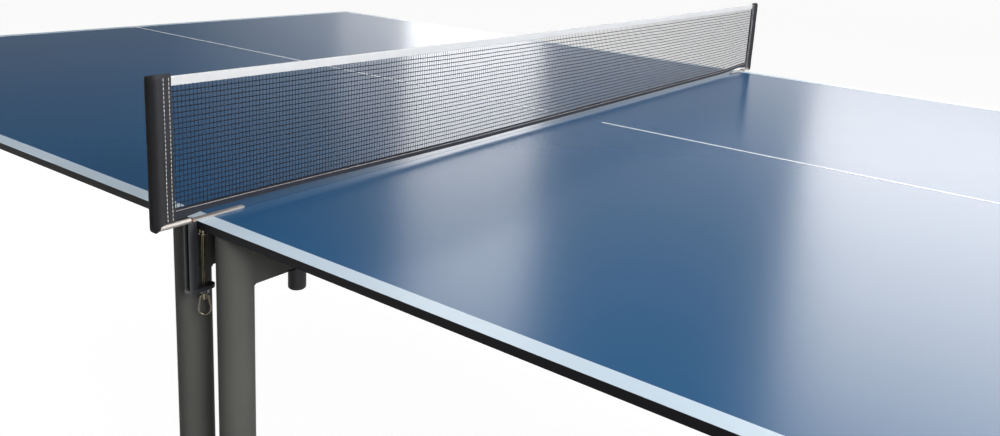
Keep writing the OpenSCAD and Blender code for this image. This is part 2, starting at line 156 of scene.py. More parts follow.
def primitive(name: str, kind: str, **settings: object) -> Piece:
    """Add one of Blender's own shapes.

    Args:
        name: The new piece's name.
        kind: The shape, such as "cube".
        settings: Values for the operator that adds it.

    Returns:
        The piece, with its place written into its mesh.
    """
    deselect()
    getattr(bpy.ops.mesh, f"primitive_{kind}_add")(**settings)
    return settle(name)


def modify(piece: Piece, kind: str, **settings: object) -> None:
    """Add a modifier to a piece and apply it.

    Args:
        piece: The piece to change.
        kind: The modifier's type, such as "BEVEL".
        settings: Values for the modifier's own properties.
    """
    select_only(piece)
    modifier = piece.modifiers.new(kind.title(), kind)
    for key, value in settings.items():
        setattr(modifier, key, value)
    bpy.ops.object.modifier_apply(modifier=modifier.name)


def smooth(piece: Piece, sharpest: Sharpest = Sharpest.STEEL) -> Piece:
    """Shade a piece smooth except over its sharp edges.

    Args:
        piece: The piece to shade.
        sharpest: The sharpest edge that is still shaded smooth.

    Returns:
        The same piece.
    """
    select_only(piece)
    bpy.ops.object.shade_smooth_by_angle(angle=math.radians(sharpest.value))
    return piece


def join(name: str, pieces: Sequence[Piece]) -> Piece:
    """Join pieces into one.

    Args:
        name: The name of the joined piece.
        pieces: The pieces to join. The first one keeps its object.

    Returns:
        The joined piece.
    """
    deselect()
    for piece in pieces:
        piece.select_set(True)
    bpy.context.view_layer.objects.active = pieces[0]
    if len(pieces) > 1:
        bpy.ops.object.join()
    return settle(name)


def copied(piece: Piece, place: Matrix) -> Piece:
    """Copy a piece with a mesh of its own.

    Args:
        piece: The piece to copy.
        place: Where the copy goes, as a transform of the original's mesh.

    Returns:
        The copy, with its place written into its mesh.
    """
    select_only(piece)
    bpy.ops.object.duplicate(linked=False)
    copy = bpy.context.object
    copy.data.transform(place)
    if place.determinant() < 0:
        copy.data.flip_normals()
    return copy


def outwards(piece: Piece) -> None:
    """Merge a piece's doubled points and turn its faces outwards."""
    with editing(piece):
        bpy.ops.mesh.remove_doubles(threshold=SAME)
        bpy.ops.mesh.normals_make_consistent(inside=False)


def cylinder(name: str, radius: float, low: Vector, high: Vector, sides: int = 32) -> Piece:
    """Add a round bar between two points.

    Args:
        name: The bar's name.
        radius: Its radius.
        low: The middle of one end.
        high: The middle of the other end.
        sides: How many sides it has.

    Returns:
        The bar.
    """
    along = high - low
    turn = along.to_track_quat("Z", "Y").to_euler()
    middle = (low + high) / 2
    return primitive(
        name, "cylinder", vertices=sides, radius=radius, depth=along.length, location=middle, rotation=turn
    )


def block(name: str, low: Vector, high: Vector) -> Piece:
    """Add a box between two corners.

    Args:
        name: The box's name.
        low: Its lowest corner.
        high: Its highest corner.

    Returns:
        The box.
    """
    return primitive(name, "cube", size=1.0, location=(low + high) / 2, scale=high - low)


def cut(piece: Piece, cutter: Piece) -> None:
    """Cut one piece out of another, and remove the cutter."""
    modify(piece, "BOOLEAN", operation="DIFFERENCE", object=cutter, solver="EXACT")
    bpy.data.objects.remove(cutter)


def merged_copy(node: str, name: str) -> Piece:
    """Copy a CAD node, merge its loose triangles and make its flat faces whole.

    Args:
        node: The node to copy.
        name: The new piece's name.

    Returns:
        The copy, which rides on nothing yet.
    """
    piece = copied(NODES[node], Matrix.Identity(4))
    piece.parent = None
    for key in [key for key in piece.keys() if key.startswith("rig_")]:
        del piece[key]
    piece.name = piece.data.name = name
    outwards(piece)
    with editing(piece):
        bpy.ops.mesh.dissolve_limited(angle_limit=math.radians(FLAT_ENOUGH))
    return piece


def round_edges(piece: Piece, width: float, degrees: float) -> None:
    """Round the edges of a piece that are sharper than an angle in degrees."""
    modify(piece, "BEVEL", width=width, segments=2, limit_method="ANGLE", angle_limit=math.radians(degrees))


def rounded_from(node: str, width: float, degrees: float = 40.0) -> Piece:
    """Copy a CAD node and round its sharp edges a little.

    Args:
        node: The node to copy.
        width: How wide the rounding is.
        degrees: Edges sharper than this are rounded.

    Returns:
        The rounded copy.
    """
    piece = merged_copy(node, f"{node}_rounded")
    round_edges(piece, width, degrees)
    return smooth(piece)


def pick(piece: Piece, wanted: Callable[[Vector, Vector], bool]) -> None:
    """Go into edit mode with only some edges selected.

    Args:
        piece: The piece.
        wanted: Tells from an edge's two ends whether it is wanted.
    """
    with editing(piece):
        bpy.ops.mesh.select_mode(type="EDGE")
        bpy.ops.mesh.select_all(action="DESELECT")
    points = piece.data.vertices
    for edge in piece.data.edges:
        edge.select = wanted(*(points[i].co for i in edge.vertices))
    bpy.ops.object.mode_set(mode="EDIT")


def round_picked(piece: Piece, wanted: Callable[[Vector, Vector], bool], width: float) -> None:
    """Round some edges of a piece.

    Args:
        piece: The piece.
        wanted: Tells from an edge's two ends whether it is wanted.
        width: How wide the rounding is.
    """
    pick(piece, wanted)
    bpy.ops.mesh.bevel(offset=width, segments=3, affect="EDGES")
    bpy.ops.object.mode_set(mode="OBJECT")


def divide(piece: Piece, along: Vector, cells: int) -> None:
    """Divide the edges of a piece that run along a direction.

    Args:
        piece: The piece.
        along: The direction.
        cells: How many parts each edge becomes.
    """
    nearly_parallel = 0.99
    pick(piece, lambda a, b: abs((b - a).normalized().dot(along)) > nearly_parallel)
    bpy.ops.mesh.subdivide(number_cuts=cells - 1)
    bpy.ops.object.mode_set(mode="OBJECT")


def repeat(piece: Piece, count: int, step: Vector) -> None:
    """Repeat a piece's mesh in a straight row.

    Args:
        piece: The piece.
        count: How many there are in the end.
        step: From one to the next.
    """
    modify(
        piece,
        "ARRAY",
        count=count,
        use_relative_offset=False,
        use_constant_offset=True,
        constant_offset_displace=step,
    )


def close_holes(piece: Piece) -> None:
    """Close the open ends of a piece."""
    with editing(piece):
        bpy.ops.mesh.fill_holes(sides=0)
        bpy.ops.mesh.normals_make_consistent(inside=False)


def grid_from(
    name: str, columns: int, rows: int, place: Callable[[float, float], Vector], size: tuple[float, float]
) -> Piece:
    """Lay out a sheet of cloth: a flat grid whose points are then hung where they belong.

    Args:
        name: The sheet's name.
        columns: Cells across the cloth.
        rows: Cells along the cloth.
        place: Gives a point's place from its share of the way across and along.
        size: The cloth's width and length, which its UV map is drawn in.

    Returns:
        The sheet, with a UV map in metres.
    """
    sheet = primitive(name, "grid", x_subdivisions=columns, y_subdivisions=rows, size=1.0, calc_uvs=True)
    shares = [(v.co.x + 0.5, v.co.y + 0.5) for v in sheet.data.vertices]
    for loop, uv in zip(sheet.data.loops, sheet.data.uv_layers[0].data):
        across, along = shares[loop.vertex_index]
        uv.uv = (across * size[0], along * size[1])
    for vertex, share in zip(sheet.data.vertices, shares):
        vertex.co = place(*share)
    sheet.data.update()
    return sheet


def ease(share: float) -> float:
    """Return a share held between 0 and 1, with soft ends."""
    share = max(0.0, min(1.0, share))
    return share * share * (3.0 - 2.0 * share)


def ripple(at: Sequence[float], waves: Sequence[float], start: float = 0.0) -> float:
    """Return an irregular smooth wave between -1 and 1, which is the same on every run.

    Args:
        at: Where it is read.
        waves: How many waves there are to a metre along each axis.
        start: How far the pattern is moved along X, which keeps patterns apart.

    Returns:
        The wave's height there.
    """
    return noise.noise(Vector((at[0] * waves[0] + start, at[1] * waves[1], at[2] * waves[2])))


def segment(start: tuple[float, float], end: tuple[float, float], steps: int) -> list[Vector]:
    """Return points on a straight line, without its end."""
    return [Vector(start).lerp(Vector(end), step / steps) for step in range(steps)]


def arc(centre: tuple[float, float], radius: float, start: float, end: float, steps: int) -> list[Vector]:
    """Return points on a part of a circle between two angles in degrees, without its end."""
    angles = [math.radians(start + (end - start) * step / steps) for step in range(steps)]
    return [Vector(centre) + radius * Vector((math.cos(a), math.sin(a))) for a in angles]


def hairpin(half: float, tips: float, bend: float, last: float) -> list[Vector]:
    """Return the end view of cloth that is folded flat round the edge of the net.

    Args:
        half: Half the distance between its two layers.
        tips: The height of its two free edges.
        bend: The height where its bend starts.
        last: The angle in degrees where the bend ends. It starts at 180.

    Returns:
        The middle of the cloth, from one free edge to the other.
    """
    return [
        *segment((-half, tips), (-half, bend), LAYER_CELLS),
        *arc((0, bend), half, 180, last, BEND_CELLS),
        *segment((half, bend), (half, tips), LAYER_CELLS),
    ]


def strip_length(path: Sequence[Vector]) -> float:
    """Return the length of a path."""
    return sum((b - a).length for a, b in zip(path, path[1:]))


def folded_cloth(
    name: str,
    path: Sequence[Vector],
    thickness: float,
    stations: int,
    place: Callable[[Vector, float], Vector],
    length: float,
) -> Piece:
    """Make a strip of cloth that is folded along its length, with its real thickness.

    Args:
        name: The strip's name.
        path: The middle of the cloth seen end on, as the fold leads it.
        thickness: The cloth's thickness.
        stations: Cells along the strip.
        place: Gives a point's place from its place in the end view and its share of the length.
        length: The length of the strip, for its UV map.

    Returns:
        The strip, closed all round.
    """
    outline = []
    for sign, order in ((1, 1), (-1, -1)):
        side = []
        for index, point in enumerate(path):
            ahead = (path[min(index + 1, len(path) - 1)] - path[max(index - 1, 0)]).normalized()
            side.append(point + sign * thickness / 2 * Vector((-ahead.y, ahead.x)))
        outline += side[::order]
    count = len(outline)

    def at(across: float, along: float) -> Vector:
        """Return the place of a point of the grid."""
        return place(outline[round(across * count) % count], along)

    piece = grid_from(name, count, stations, at, (2 * strip_length(path), length))
    outwards(piece)
    close_holes(piece)
    return smooth(piece, Sharpest.CLOTH)


def weld_bead(
    name: str, path: Callable[[float], tuple[Vector, Vector]], length: float, radius: float
) -> Piece:
    """Make a weld bead: a tube along a closed path, thicker and thinner by turns.

    Args:
        name: The bead's name.
        path: Gives a point and an outward direction from a share of the way round.
        length: The length of the path.
        radius: The bead's mean radius.

    Returns:
        The bead.
    """
    ripple_length = 1.5 * radius
    thinnest, swell = 0.86, 0.22
    flatness = 0.7
    sides, cells_per_ripple = 8, 4
    ripples = round(length / ripple_length)
    small = 0.1 / ripples

    def place(across: float, along: float) -> Vector:
        """Return a point on the bead's skin."""
        centre, out = path(along)
        ahead = (path(along + small)[0] - path(along - small)[0]).normalized()
        aside = ahead.cross(out).normalized()
        thick = radius * (thinnest + swell * abs(math.sin(math.pi * ripples * along)))
        angle = 2 * math.pi * across
        return centre + thick * (math.cos(angle) * out * flatness + math.sin(angle) * aside)

    piece = grid_from(name, sides, ripples * cells_per_ripple, place, (2 * math.pi * radius, length))
    outwards(piece)
    return piece


# ---------------------------------------------------------------- shading helpers

GROUPS: dict[str, bpy.types.NodeTree] = {}


class Sketch:
    """Adds nodes to a material or a node group in a few words."""

    def __init__(self, tree: bpy.types.NodeTree) -> None:
        """Start on an empty tree.

        Args:
            tree: The node tree to fill.
        """
        self.tree = tree
        tree.nodes.clear()

    def add(self, kind: str, options: dict[str, object] | None = None, **values: object) -> bpy.types.Node:
        """Add a node, with its inputs named in lower case with underscores.

        Args:
            kind: The node's type without its "ShaderNode" start.
            options: The node's own properties.
            values: Inputs, each a value or a socket to link.

        Returns:
            The node.
        """
        node = self.tree.nodes.new(kind if kind.startswith("Node") else "ShaderNode" + kind)
        for key, value in (options or {}).items():
            setattr(node, key, value)
        for key, value in values.items():
            self.feed(self.socket(node, key), value)
        return node

    @staticmethod
    def socket(node: bpy.types.Node, key: str) -> Socket:
        """Find an enabled input by its name in lower case, or by a number such as "in1"."""
        if key.startswith("in") and key[2:].isdigit():
            return node.inputs[int(key[2:])]
        for socket in node.inputs:
            if socket.enabled and socket.name.lower().replace(" ", "_") == key:
                return socket
        raise KeyError(f"{node.bl_idname} has no input {key}")

    def feed(self, socket: Socket, value: object) -> None:
        """Link a socket to an input, or set the input's value."""
        if isinstance(value, Socket):
            self.tree.links.new(value, socket)
        elif isinstance(value, tuple) and socket.type == "RGBA":
            socket.default_value = (*value, 1.0)[:4]
        else:
            socket.default_value = value

    def math(self, operation: str, first: object, second: object = 0.0) -> Socket:
        """Return the result of a maths node."""
        return self.add("Math", {"operation": operation}, in0=first, in1=second).outputs[0]

    def mix(self, factor: object, first: object, second: object) -> Socket:
        """Return a blend of two colours."""
        return self.add("Mix", {"data_type": "RGBA"}, factor=factor, a=first, b=second).outputs[2]

    def ramp(
        self, value: object, low: float, high: float, to_low: float = 0.0, to_high: float = 1.0
    ) -> Socket:
        """Map a value from one range to another, and hold it there.

        Args:
            value: The value.
            low: Where the first range starts.
            high: Where it ends.
            to_low: What the start becomes.
            to_high: What the end becomes.

        Returns:
            The mapped value.
        """
        ends = {"from_min": low, "from_max": high, "to_min": to_low, "to_max": to_high}
        return self.add("MapRange", {"clamp": True}, value=value, **ends).outputs[0]

    def noise(self, at: Socket, scale: object, detail: float, roughness: float) -> Socket:
        """Return a noise texture's value."""
        return self.add("TexNoise", vector=at, scale=scale, detail=detail, roughness=roughness).outputs[0]

    def parts(self, vector: Socket) -> bpy.types.NodeOutputs:
        """Return the X, Y and Z of a vector."""
        return self.add("SeparateXYZ", vector=vector).outputs

    def coordinates(self, kind: str) -> Socket:
        """Return texture coordinates of one kind, such as "Object"."""
        return self.add("TexCoord").outputs[kind]

    def use(self, name: str, **values: object) -> bpy.types.NodeOutputs:
        """Return the outputs of a shared node group."""
        return self.add("Group", {"node_tree": GROUPS[name]}, **values).outputs


def blank_material(name: str) -> tuple[bpy.types.Material, Sketch]:
    """Make a material without nodes, and return it with its sketch."""
    material = bpy.data.materials.new(name)
    material.use_nodes = True
    return material, Sketch(material.node_tree)


def group(
    name: str, takes: dict[str, tuple[str, float]], gives: Iterable[str]
) -> tuple[Sketch, bpy.types.NodeOutputs]:
    """Start a shader node group.

    Args:
        name: The group's name.
        takes: Each input's kind ("Float" or "Vector") and its first value.
        gives: The names of its outputs, which are all numbers.

    Returns:
        The group's sketch and its inputs, as the sockets that give them.
    """
    tree = bpy.data.node_groups.new(name, "ShaderNodeTree")
    for key, (kind, value) in takes.items():
        socket = tree.interface.new_socket(key, in_out="INPUT", socket_type="NodeSocket" + kind)
        if kind == "Float":
            socket.default_value = value
    for key in gives:
        tree.interface.new_socket(key, in_out="OUTPUT", socket_type="NodeSocketFloat")
    sketch = Sketch(tree)
    return sketch, sketch.add("NodeGroupInput").outputs


def close_group(sketch: Sketch, **outputs: Socket) -> bpy.types.NodeTree:
    """Link a group's outputs by name, with underscores for spaces, and return its tree."""
    end = sketch.add("NodeGroupOutput")
    for key, socket in outputs.items():
        sketch.tree.links.new(socket, end.inputs[key.replace("_", " ").title()])
    return sketch.tree


def mottle_group() -> bpy.types.NodeTree:
    """Build the group for slow changes of tone and gloss: broad patches and small ones, from 0 to 1."""
    sketch, takes = group("Mottle", {"Vector": ("Vector", 0.0), "Scale": ("Float", 5.0)}, ["Broad", "Small"])
    lowest, highest = 0.3, 0.7
    small_scale = sketch.math("MULTIPLY", takes["Scale"], 9.0)
    broad = sketch.noise(takes["Vector"], takes["Scale"], 3.0, 0.55)
    small = sketch.noise(takes["Vector"], small_scale, 5.0, 0.6)
    return close_group(
        sketch, broad=sketch.ramp(broad, lowest, highest), small=sketch.ramp(small, lowest, highest)
    )


def grain_group() -> bpy.types.NodeTree:
    """Build the group for the fine skin of paint, plastic and rubber: a height and a sparse speck mask."""
    sketch, takes = group("Grain", {"Vector": ("Vector", 0.0), "Size": ("Float", 0.001)}, ["Height", "Speck"])
    specks_per_grain = 0.22
    speck_core, speck_rim = 0.05, 0.16
    scale = sketch.math("DIVIDE", 1.0, takes["Size"])
    speck_scale = sketch.math("MULTIPLY", scale, specks_per_grain)
    cells = sketch.add("TexVoronoi", vector=takes["Vector"], scale=speck_scale).outputs["Distance"]
    skin = sketch.noise(takes["Vector"], scale, 2.0, 0.5)
    return close_group(sketch, height=skin, speck=sketch.ramp(cells, speck_core, speck_rim, 1.0, 0.0))


def scratch_group() -> bpy.types.NodeTree:
    """Build the group for fine handling marks: thin broken lines in two directions, from 0 to 1."""
    sketch, takes = group("Scratches", {"Vector": ("Vector", 0.0), "Scale": ("Float", 1.0)}, ["Mask"])
    tilt, along = 0.3, 3.0
    mark_from, mark_to = 0.66, 0.72
    masks = []
    for turn, across in ((0.4, 60.0), (1.9, 45.0)):
        place = sketch.add(
            "Mapping", vector=takes["Vector"], rotation=(tilt, turn, turn), scale=(across, along, along)
        )
        lines = sketch.noise(place.outputs[0], takes["Scale"], 2.0, 0.4)
        masks.append(sketch.ramp(lines, mark_from, mark_to))
    return close_group(sketch, mask=sketch.math("MAXIMUM", *masks))


def weave_group() -> bpy.types.NodeTree:
    """Build the group for a plain weave on a UV map in metres: a height and a mask of the warp threads."""
    outputs = ["Height", "Warp"]
    sketch, takes = group("Weave", {"Vector": ("Vector", 0.0), "Thread": ("Float", 0.0006)}, outputs)
    over_share, warp_edge = 0.35, 0.2
    parts = sketch.parts(takes["Vector"])
    turns = sketch.math("DIVIDE", math.pi, takes["Thread"])
    across = sketch.math("SINE", sketch.math("MULTIPLY", parts["X"], turns))
    along = sketch.math("SINE", sketch.math("MULTIPLY", parts["Y"], turns))
    over = sketch.math("MULTIPLY", across, along)
    bumps = sketch.math("MAXIMUM", sketch.math("ABSOLUTE", across), sketch.math("ABSOLUTE", along))
    height = sketch.math("ADD", sketch.math("MULTIPLY", over, over_share), bumps)
    return close_group(sketch, height=height, warp=sketch.ramp(over, -warp_edge, warp_edge))


@dataclass(frozen=True)
class Finish:
    """A finish: its slot in the record, its colour and how it reflects.

    Attributes:
        slot: The record's material slot.
        colour: The base colour.
        roughness: How matt it is, from 0 to 1.
        metallic: How much it reflects as a metal does, from 0 to 1.
        grain: The size of its skin's grain.
        bump: How deep the grain is.
        mottle: How much tone and gloss wander.
        patches: How many broad patches there are to a metre.
        specular: How strongly a finish that is no metal reflects.
    """

    slot: str
    colour: Colour
    roughness: float = 0.5
    metallic: float = 0.0
    grain: float = 0.001
    bump: float = 0.00005
    mottle: float = 0.1
    patches: float = 6.0
    specular: float = 0.5

    def coordinates(self, sketch: Sketch) -> Socket:
        """Return the coordinates that the pattern is drawn in."""
        return sketch.coordinates("Object")

    def tone(self, sketch: Sketch, at: Socket, broad: Socket) -> object:
        """Return the base colour."""
        low = tuple(c * (1.0 - self.mottle) for c in self.colour)
        high = tuple(min(1.0, c * (1.0 + self.mottle)) for c in self.colour)
        return sketch.mix(broad, low, high)

    def gloss(self, sketch: Sketch, at: Socket, small: Socket) -> object:
        """Return the roughness."""
        spread = 0.5 * self.mottle * self.roughness
        return sketch.ramp(small, 0.0, 1.0, self.roughness - spread, self.roughness + spread)

    def height(self, sketch: Sketch, at: Socket) -> object:
        """Return the height that the bump is made from."""
        return sketch.use("grain", vector=at, size=self.grain)["Height"]

    def trim(self, shader: bpy.types.Node) -> None:
        """Set what is the same all over the surface. A plain finish needs nothing more."""

    def build(self) -> bpy.types.Material:
        """Make the material.

        Returns:
            The material, with its nodes.
        """
        material, sketch = blank_material(self.slot)
        at = self.coordinates(sketch)
        mottle = sketch.use("mottle", vector=at, scale=self.patches)
        bump = sketch.add("Bump", strength=1.0, distance=self.bump, height=self.height(sketch, at))
        shader = sketch.add(
            "BsdfPrincipled",
            base_color=self.tone(sketch, at, mottle["Broad"]),
            roughness=self.gloss(sketch, at, mottle["Small"]),
            metallic=self.metallic,
            specular_ior_level=self.specular,
            normal=bump.outputs[0],
        )
        self.trim(shader)
        sketch.add("OutputMaterial", surface=shader.outputs[0])
        return material


@dataclass(frozen=True)
class BoardLacquer(Finish):
    """Satin lacquer on the playing side of a board, and dull sealed fibre board underneath.

    Attributes:
        speck_tone: How many times as bright as the lacquer its faint specks are.
    """

    under: Colour = (0.035, 0.030, 0.026)
    under_roughness: float = 0.6
    speck_tone: float = 1.12

    def underside(self, sketch: Sketch) -> Socket:
        """Return 1 on the underside of the board, and 0 elsewhere."""
        under, beside = -0.6, -0.4
        return sketch.ramp(sketch.parts(sketch.coordinates("Normal"))["Z"], under, beside, 1.0, 0.0)

    def tone(self, sketch: Sketch, at: Socket, broad: Socket) -> object:
        """Return lacquer with faint specks above, and bare board below."""
        specks = sketch.use("grain", vector=at, size=self.grain)["Speck"]
        pale = tuple(min(1.0, c * self.speck_tone) for c in self.colour)
        lacquer = sketch.mix(specks, super().tone(sketch, at, broad), pale)
        return sketch.mix(self.underside(sketch), lacquer, self.under)

    def gloss(self, sketch: Sketch, at: Socket, small: Socket) -> object:
        """Return the roughness: satin above, and dull below."""
        dull = sketch.math("MULTIPLY", self.underside(sketch), self.under_roughness)
        return sketch.math("MAXIMUM", super().gloss(sketch, at, small), dull)


@dataclass(frozen=True)
class CourtPaint(Finish):
    """White court paint, whiter along the middle of the table than along its sides.

    Attributes:
        centre: The colour of the centre line.
        centre_reach: Up to how far from the middle a line counts as the centre line.
    """

    centre: Colour = (0.92, 0.95, 0.98)
    centre_reach: float = 0.01

    def tone(self, sketch: Sketch, at: Socket, broad: Socket) -> object:
        """Return the colour of the side lines, and of the centre line in the middle."""
        away = sketch.math("ABSOLUTE", sketch.parts(at)["Y"])
        share = sketch.ramp(away, self.centre_reach, 2.0 * self.centre_reach)
        return sketch.mix(share, self.centre, super().tone(sketch, at, broad))


@dataclass(frozen=True)
class HandledSteel(Finish):
    """Steel that hands have marked. As it stands it is powder coated, and rubbed a little smoother.

    Attributes:
        marks: How much rougher the handling marks are, or smoother where it is below 0.
        marks_scale: How close together they are.
    """

    marks: float = -0.08
    marks_scale: float = 5.0

    def gloss(self, sketch: Sketch, at: Socket, small: Socket) -> object:
        """Return the roughness, changed along the handling marks."""
        mask = sketch.use("scratches", vector=at, scale=self.marks_scale)["Mask"]
        marks = sketch.math("MULTIPLY", mask, self.marks)
        return sketch.math("ADD", super().gloss(sketch, at, small), marks)


@dataclass(frozen=True)
class WornMetal(HandledSteel):
    """Plated or bare metal, with rougher handling marks and a slow change of tint.

    Attributes:
        tint: The colour that the plating wanders to.
    """

    metallic: float = 1.0
    marks: float = 0.12
    marks_scale: float = 9.0
    tint: Colour = (0.7, 0.7, 0.7)

    def tone(self, sketch: Sketch, at: Socket, broad: Socket) -> object:
        """Return the plating's colour, wandering to its tint."""
        return sketch.mix(broad, self.colour, self.tint)


@dataclass(frozen=True)
class Cloth(Finish):
    """Woven cloth, drawn on its own UV map in metres.

    Attributes:
        thread: The width of one thread.
        sheen: How much the loose fibres catch the light.
        shade: How much of the colour is left in the painted shade of the gaps between threads.
    """

    thread: float = 0.0006
    sheen: float = 0.2
    shade: float = 0.75

    def coordinates(self, sketch: Sketch) -> Socket:
        """Return the cloth's UV map."""
        return sketch.coordinates("UV")

    def tone(self, sketch: Sketch, at: Socket, broad: Socket) -> object:
        """Return the thread colour, with painted shade in the gaps of the weave."""
        # Painted shade: the gaps between threads are darkened to this colour.
        deep = tuple(c * self.shade for c in self.colour)
        gap, crown = 0.3, 1.0
        gaps = sketch.ramp(self.height(sketch, at), gap, crown)
        return sketch.mix(gaps, deep, super().tone(sketch, at, broad))

    def height(self, sketch: Sketch, at: Socket) -> object:
        """Return the height of the woven threads."""
        return sketch.use("weave", vector=at, thread=self.thread)["Height"]

    def trim(self, shader: bpy.types.Node) -> None:
        """Set the sheen."""
        shader.inputs["Sheen Weight"].default_value = self.sheen
        shader.inputs["Sheen Roughness"].default_value = 0.5


@dataclass(frozen=True)
class SleeveCloth(Cloth):
    """Cloth drawn over a post, with painted shade over the outer side of the post.

    Attributes:
        painted_shade_from: How far from the middle of the table the painted shade starts.
        painted_shade_to: How far from the middle of the table the painted shade is darkest.
        painted_shade_tone: How much of its colour the painted shade leaves there.
    """

    painted_shade_from: float = 0.804
    painted_shade_to: float = 0.811
    painted_shade_tone: float = 0.35

    def tone(self, sketch: Sketch, at: Socket, broad: Socket) -> object:
        """Return the cloth's colour, with painted shade darkening it towards the outer side of the post."""
        cloth = super().tone(sketch, at, broad)
        away = sketch.math("ABSOLUTE", sketch.parts(sketch.coordinates("Object"))["Y"])
        # Painted shade: the cloth is darkened towards the outer side of the post.
        dark = tuple(c * self.painted_shade_tone for c in self.colour)
        return sketch.mix(sketch.ramp(away, self.painted_shade_from, self.painted_shade_to), cloth, dark)


@dataclass(frozen=True)
class Cord(Finish):
    """Twisted cord: slanting strands across a thin round cord.

    Attributes:
        strand: The distance from one strand to the next.
    """

    strand: float = 0.0005

    def height(self, sketch: Sketch, at: Socket) -> object:
        """Return the height of the strands."""
        parts = sketch.parts(at)
        slant = sketch.math("ADD", sketch.math("ADD", parts["Y"], parts["Z"]), parts["X"])
        return sketch.math("SINE", sketch.math("MULTIPLY", slant, 2.0 * math.pi / self.strand))


LACQUER = BoardLacquer(
    "table_top", (0.006, 0.093, 0.236), 0.21, grain=0.0013, bump=0.000006, mottle=0.05, patches=1.7
)
LINE_PAINT = CourtPaint("white_line", (0.62, 0.75, 0.86), 0.30, grain=0.0012, bump=0.00001, mottle=0.03)
EDGE_BAND = Finish(
    "black_edge", (0.005, 0.005, 0.007), 0.50, grain=0.0009, bump=0.00003, mottle=0.15, specular=0.1
)
FRAME_PAINT = HandledSteel(
    "grey_frame_paint", (0.142, 0.142, 0.133), 0.48, grain=0.0011, bump=0.00003, mottle=0.10, specular=0.02
)
RUBBER = Finish("black_rubber", (0.014, 0.012, 0.016), 0.66, grain=0.0007, bump=0.00006, mottle=0.2)
PLASTIC = Finish("black_plastic", (0.012, 0.012, 0.014), 0.48, grain=0.0005, bump=0.00003, mottle=0.12)
ZINC = WornMetal(
    "zinc_steel", (0.58, 0.59, 0.60), 0.34, grain=0.002, bump=0.00002, patches=30.0, tint=(0.66, 0.62, 0.52)
)
CHROME = WornMetal(
    "chrome_rod",
    (0.47, 0.45, 0.43),
    0.36,
    0.45,
    grain=0.003,
    bump=0.00001,
    patches=25.0,
    tint=(0.40, 0.36, 0.33),
)
SCREW_STEEL = WornMetal(
    "chrome_rod", (0.25, 0.225, 0.15), 0.15, grain=0.002, bump=0.00001, patches=60.0, tint=(0.10, 0.09, 0.07)
)
PLATE_STEEL = WornMetal(
    "clamp_plate_steel",
    (0.47, 0.46, 0.45),
    0.36,
    0.45,
    grain=0.001,
    bump=0.00001,
    patches=40.0,
    tint=(0.38, 0.35, 0.33),
)
BRAZE = WornMetal(
    "clamp_plate_steel",
    (0.22, 0.09, 0.05),
    0.45,
    grain=0.0008,
    bump=0.0001,
    patches=90.0,
    tint=(0.14, 0.05, 0.03),
)
DARK_STEEL = HandledSteel(
    "dark_clamp_steel", (0.018, 0.019, 0.023), 0.38, grain=0.0009, bump=0.00003, mottle=0.15
)
NET_CORD = Cord("net_cord", (0.006, 0.011, 0.028), 0.65, bump=0.0001, mottle=0.2, specular=0.3)
TAPE_CLOTH = Cloth(
    "white_tape", (0.69, 0.69, 0.69), 0.8, bump=0.00010, mottle=0.03, thread=0.0005, shade=0.90
)
HEM_CLOTH = Cloth(
    "black_hem",
    (0.016, 0.019, 0.030),
    0.8,
    bump=0.00012,
    mottle=0.15,
    specular=0.3,
    thread=0.0005,
    sheen=0.1,
)
SLEEVE_CLOTH = SleeveCloth(
    "sleeve_cloth",
    (0.048, 0.048, 0.052),
    0.50,
    bump=0.00008,
    mottle=0.5,
    specular=0.04,
    thread=0.0004,
    sheen=0.0,
)
THREAD = Cord("white_tape", (0.80, 0.80, 0.80), 0.6, bump=0.00005, mottle=0.05)
HEM_THREAD = Cord("black_hem", (0.36, 0.33, 0.32), 0.7, bump=0.00005, mottle=0.08)

MATERIALS: dict[Finish, bpy.types.Material] = {}


def material_of(finish: Finish) -> bpy.types.Material:
    """Return the finish's material, made on first use."""
    if finish not in MATERIALS:
        MATERIALS[finish] = finish.build()
    return MATERIALS[finish]


# ---------------------------------------------------------------- sub-assemblies


class Assembly:
    """A group of parts that are built and dressed together."""

    def coat(self, piece: Piece, finish: Finish) -> None:
        """Give a piece or a CAD node its finish.

        Args:
            piece: The piece.
            finish: The finish that covers it.
        """
        piece.data.materials.clear()
        piece.data.materials.append(material_of(finish))

    def dress(self, finish: Finish, *nodes: str) -> None:
        """Give CAD nodes their finish.

        Args:
            finish: The finish.
            nodes: The names of the nodes.
        """
        for node in nodes:
            self.coat(NODES[node], finish)
            log.info("dressed %s in %s", node, finish.slot)

    def place(
        self, piece: Piece, body: str, finish: Finish, replaces: Sequence[str] = ()
    ) -> Piece:
        """Finish a new piece and hand it to its body.

        Args:
            piece: The piece, in place.
            body: The body it moves with.
            finish: Its finish.
            replaces: The CAD nodes it stands for.

        Returns:
            The piece.
        """
        self.coat(piece, finish)
        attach(piece, body)
        if replaces:
            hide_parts(*replaces)
        log.info("added %s on %s, %d faces", piece.name, body, len(piece.data.polygons))
        return piece


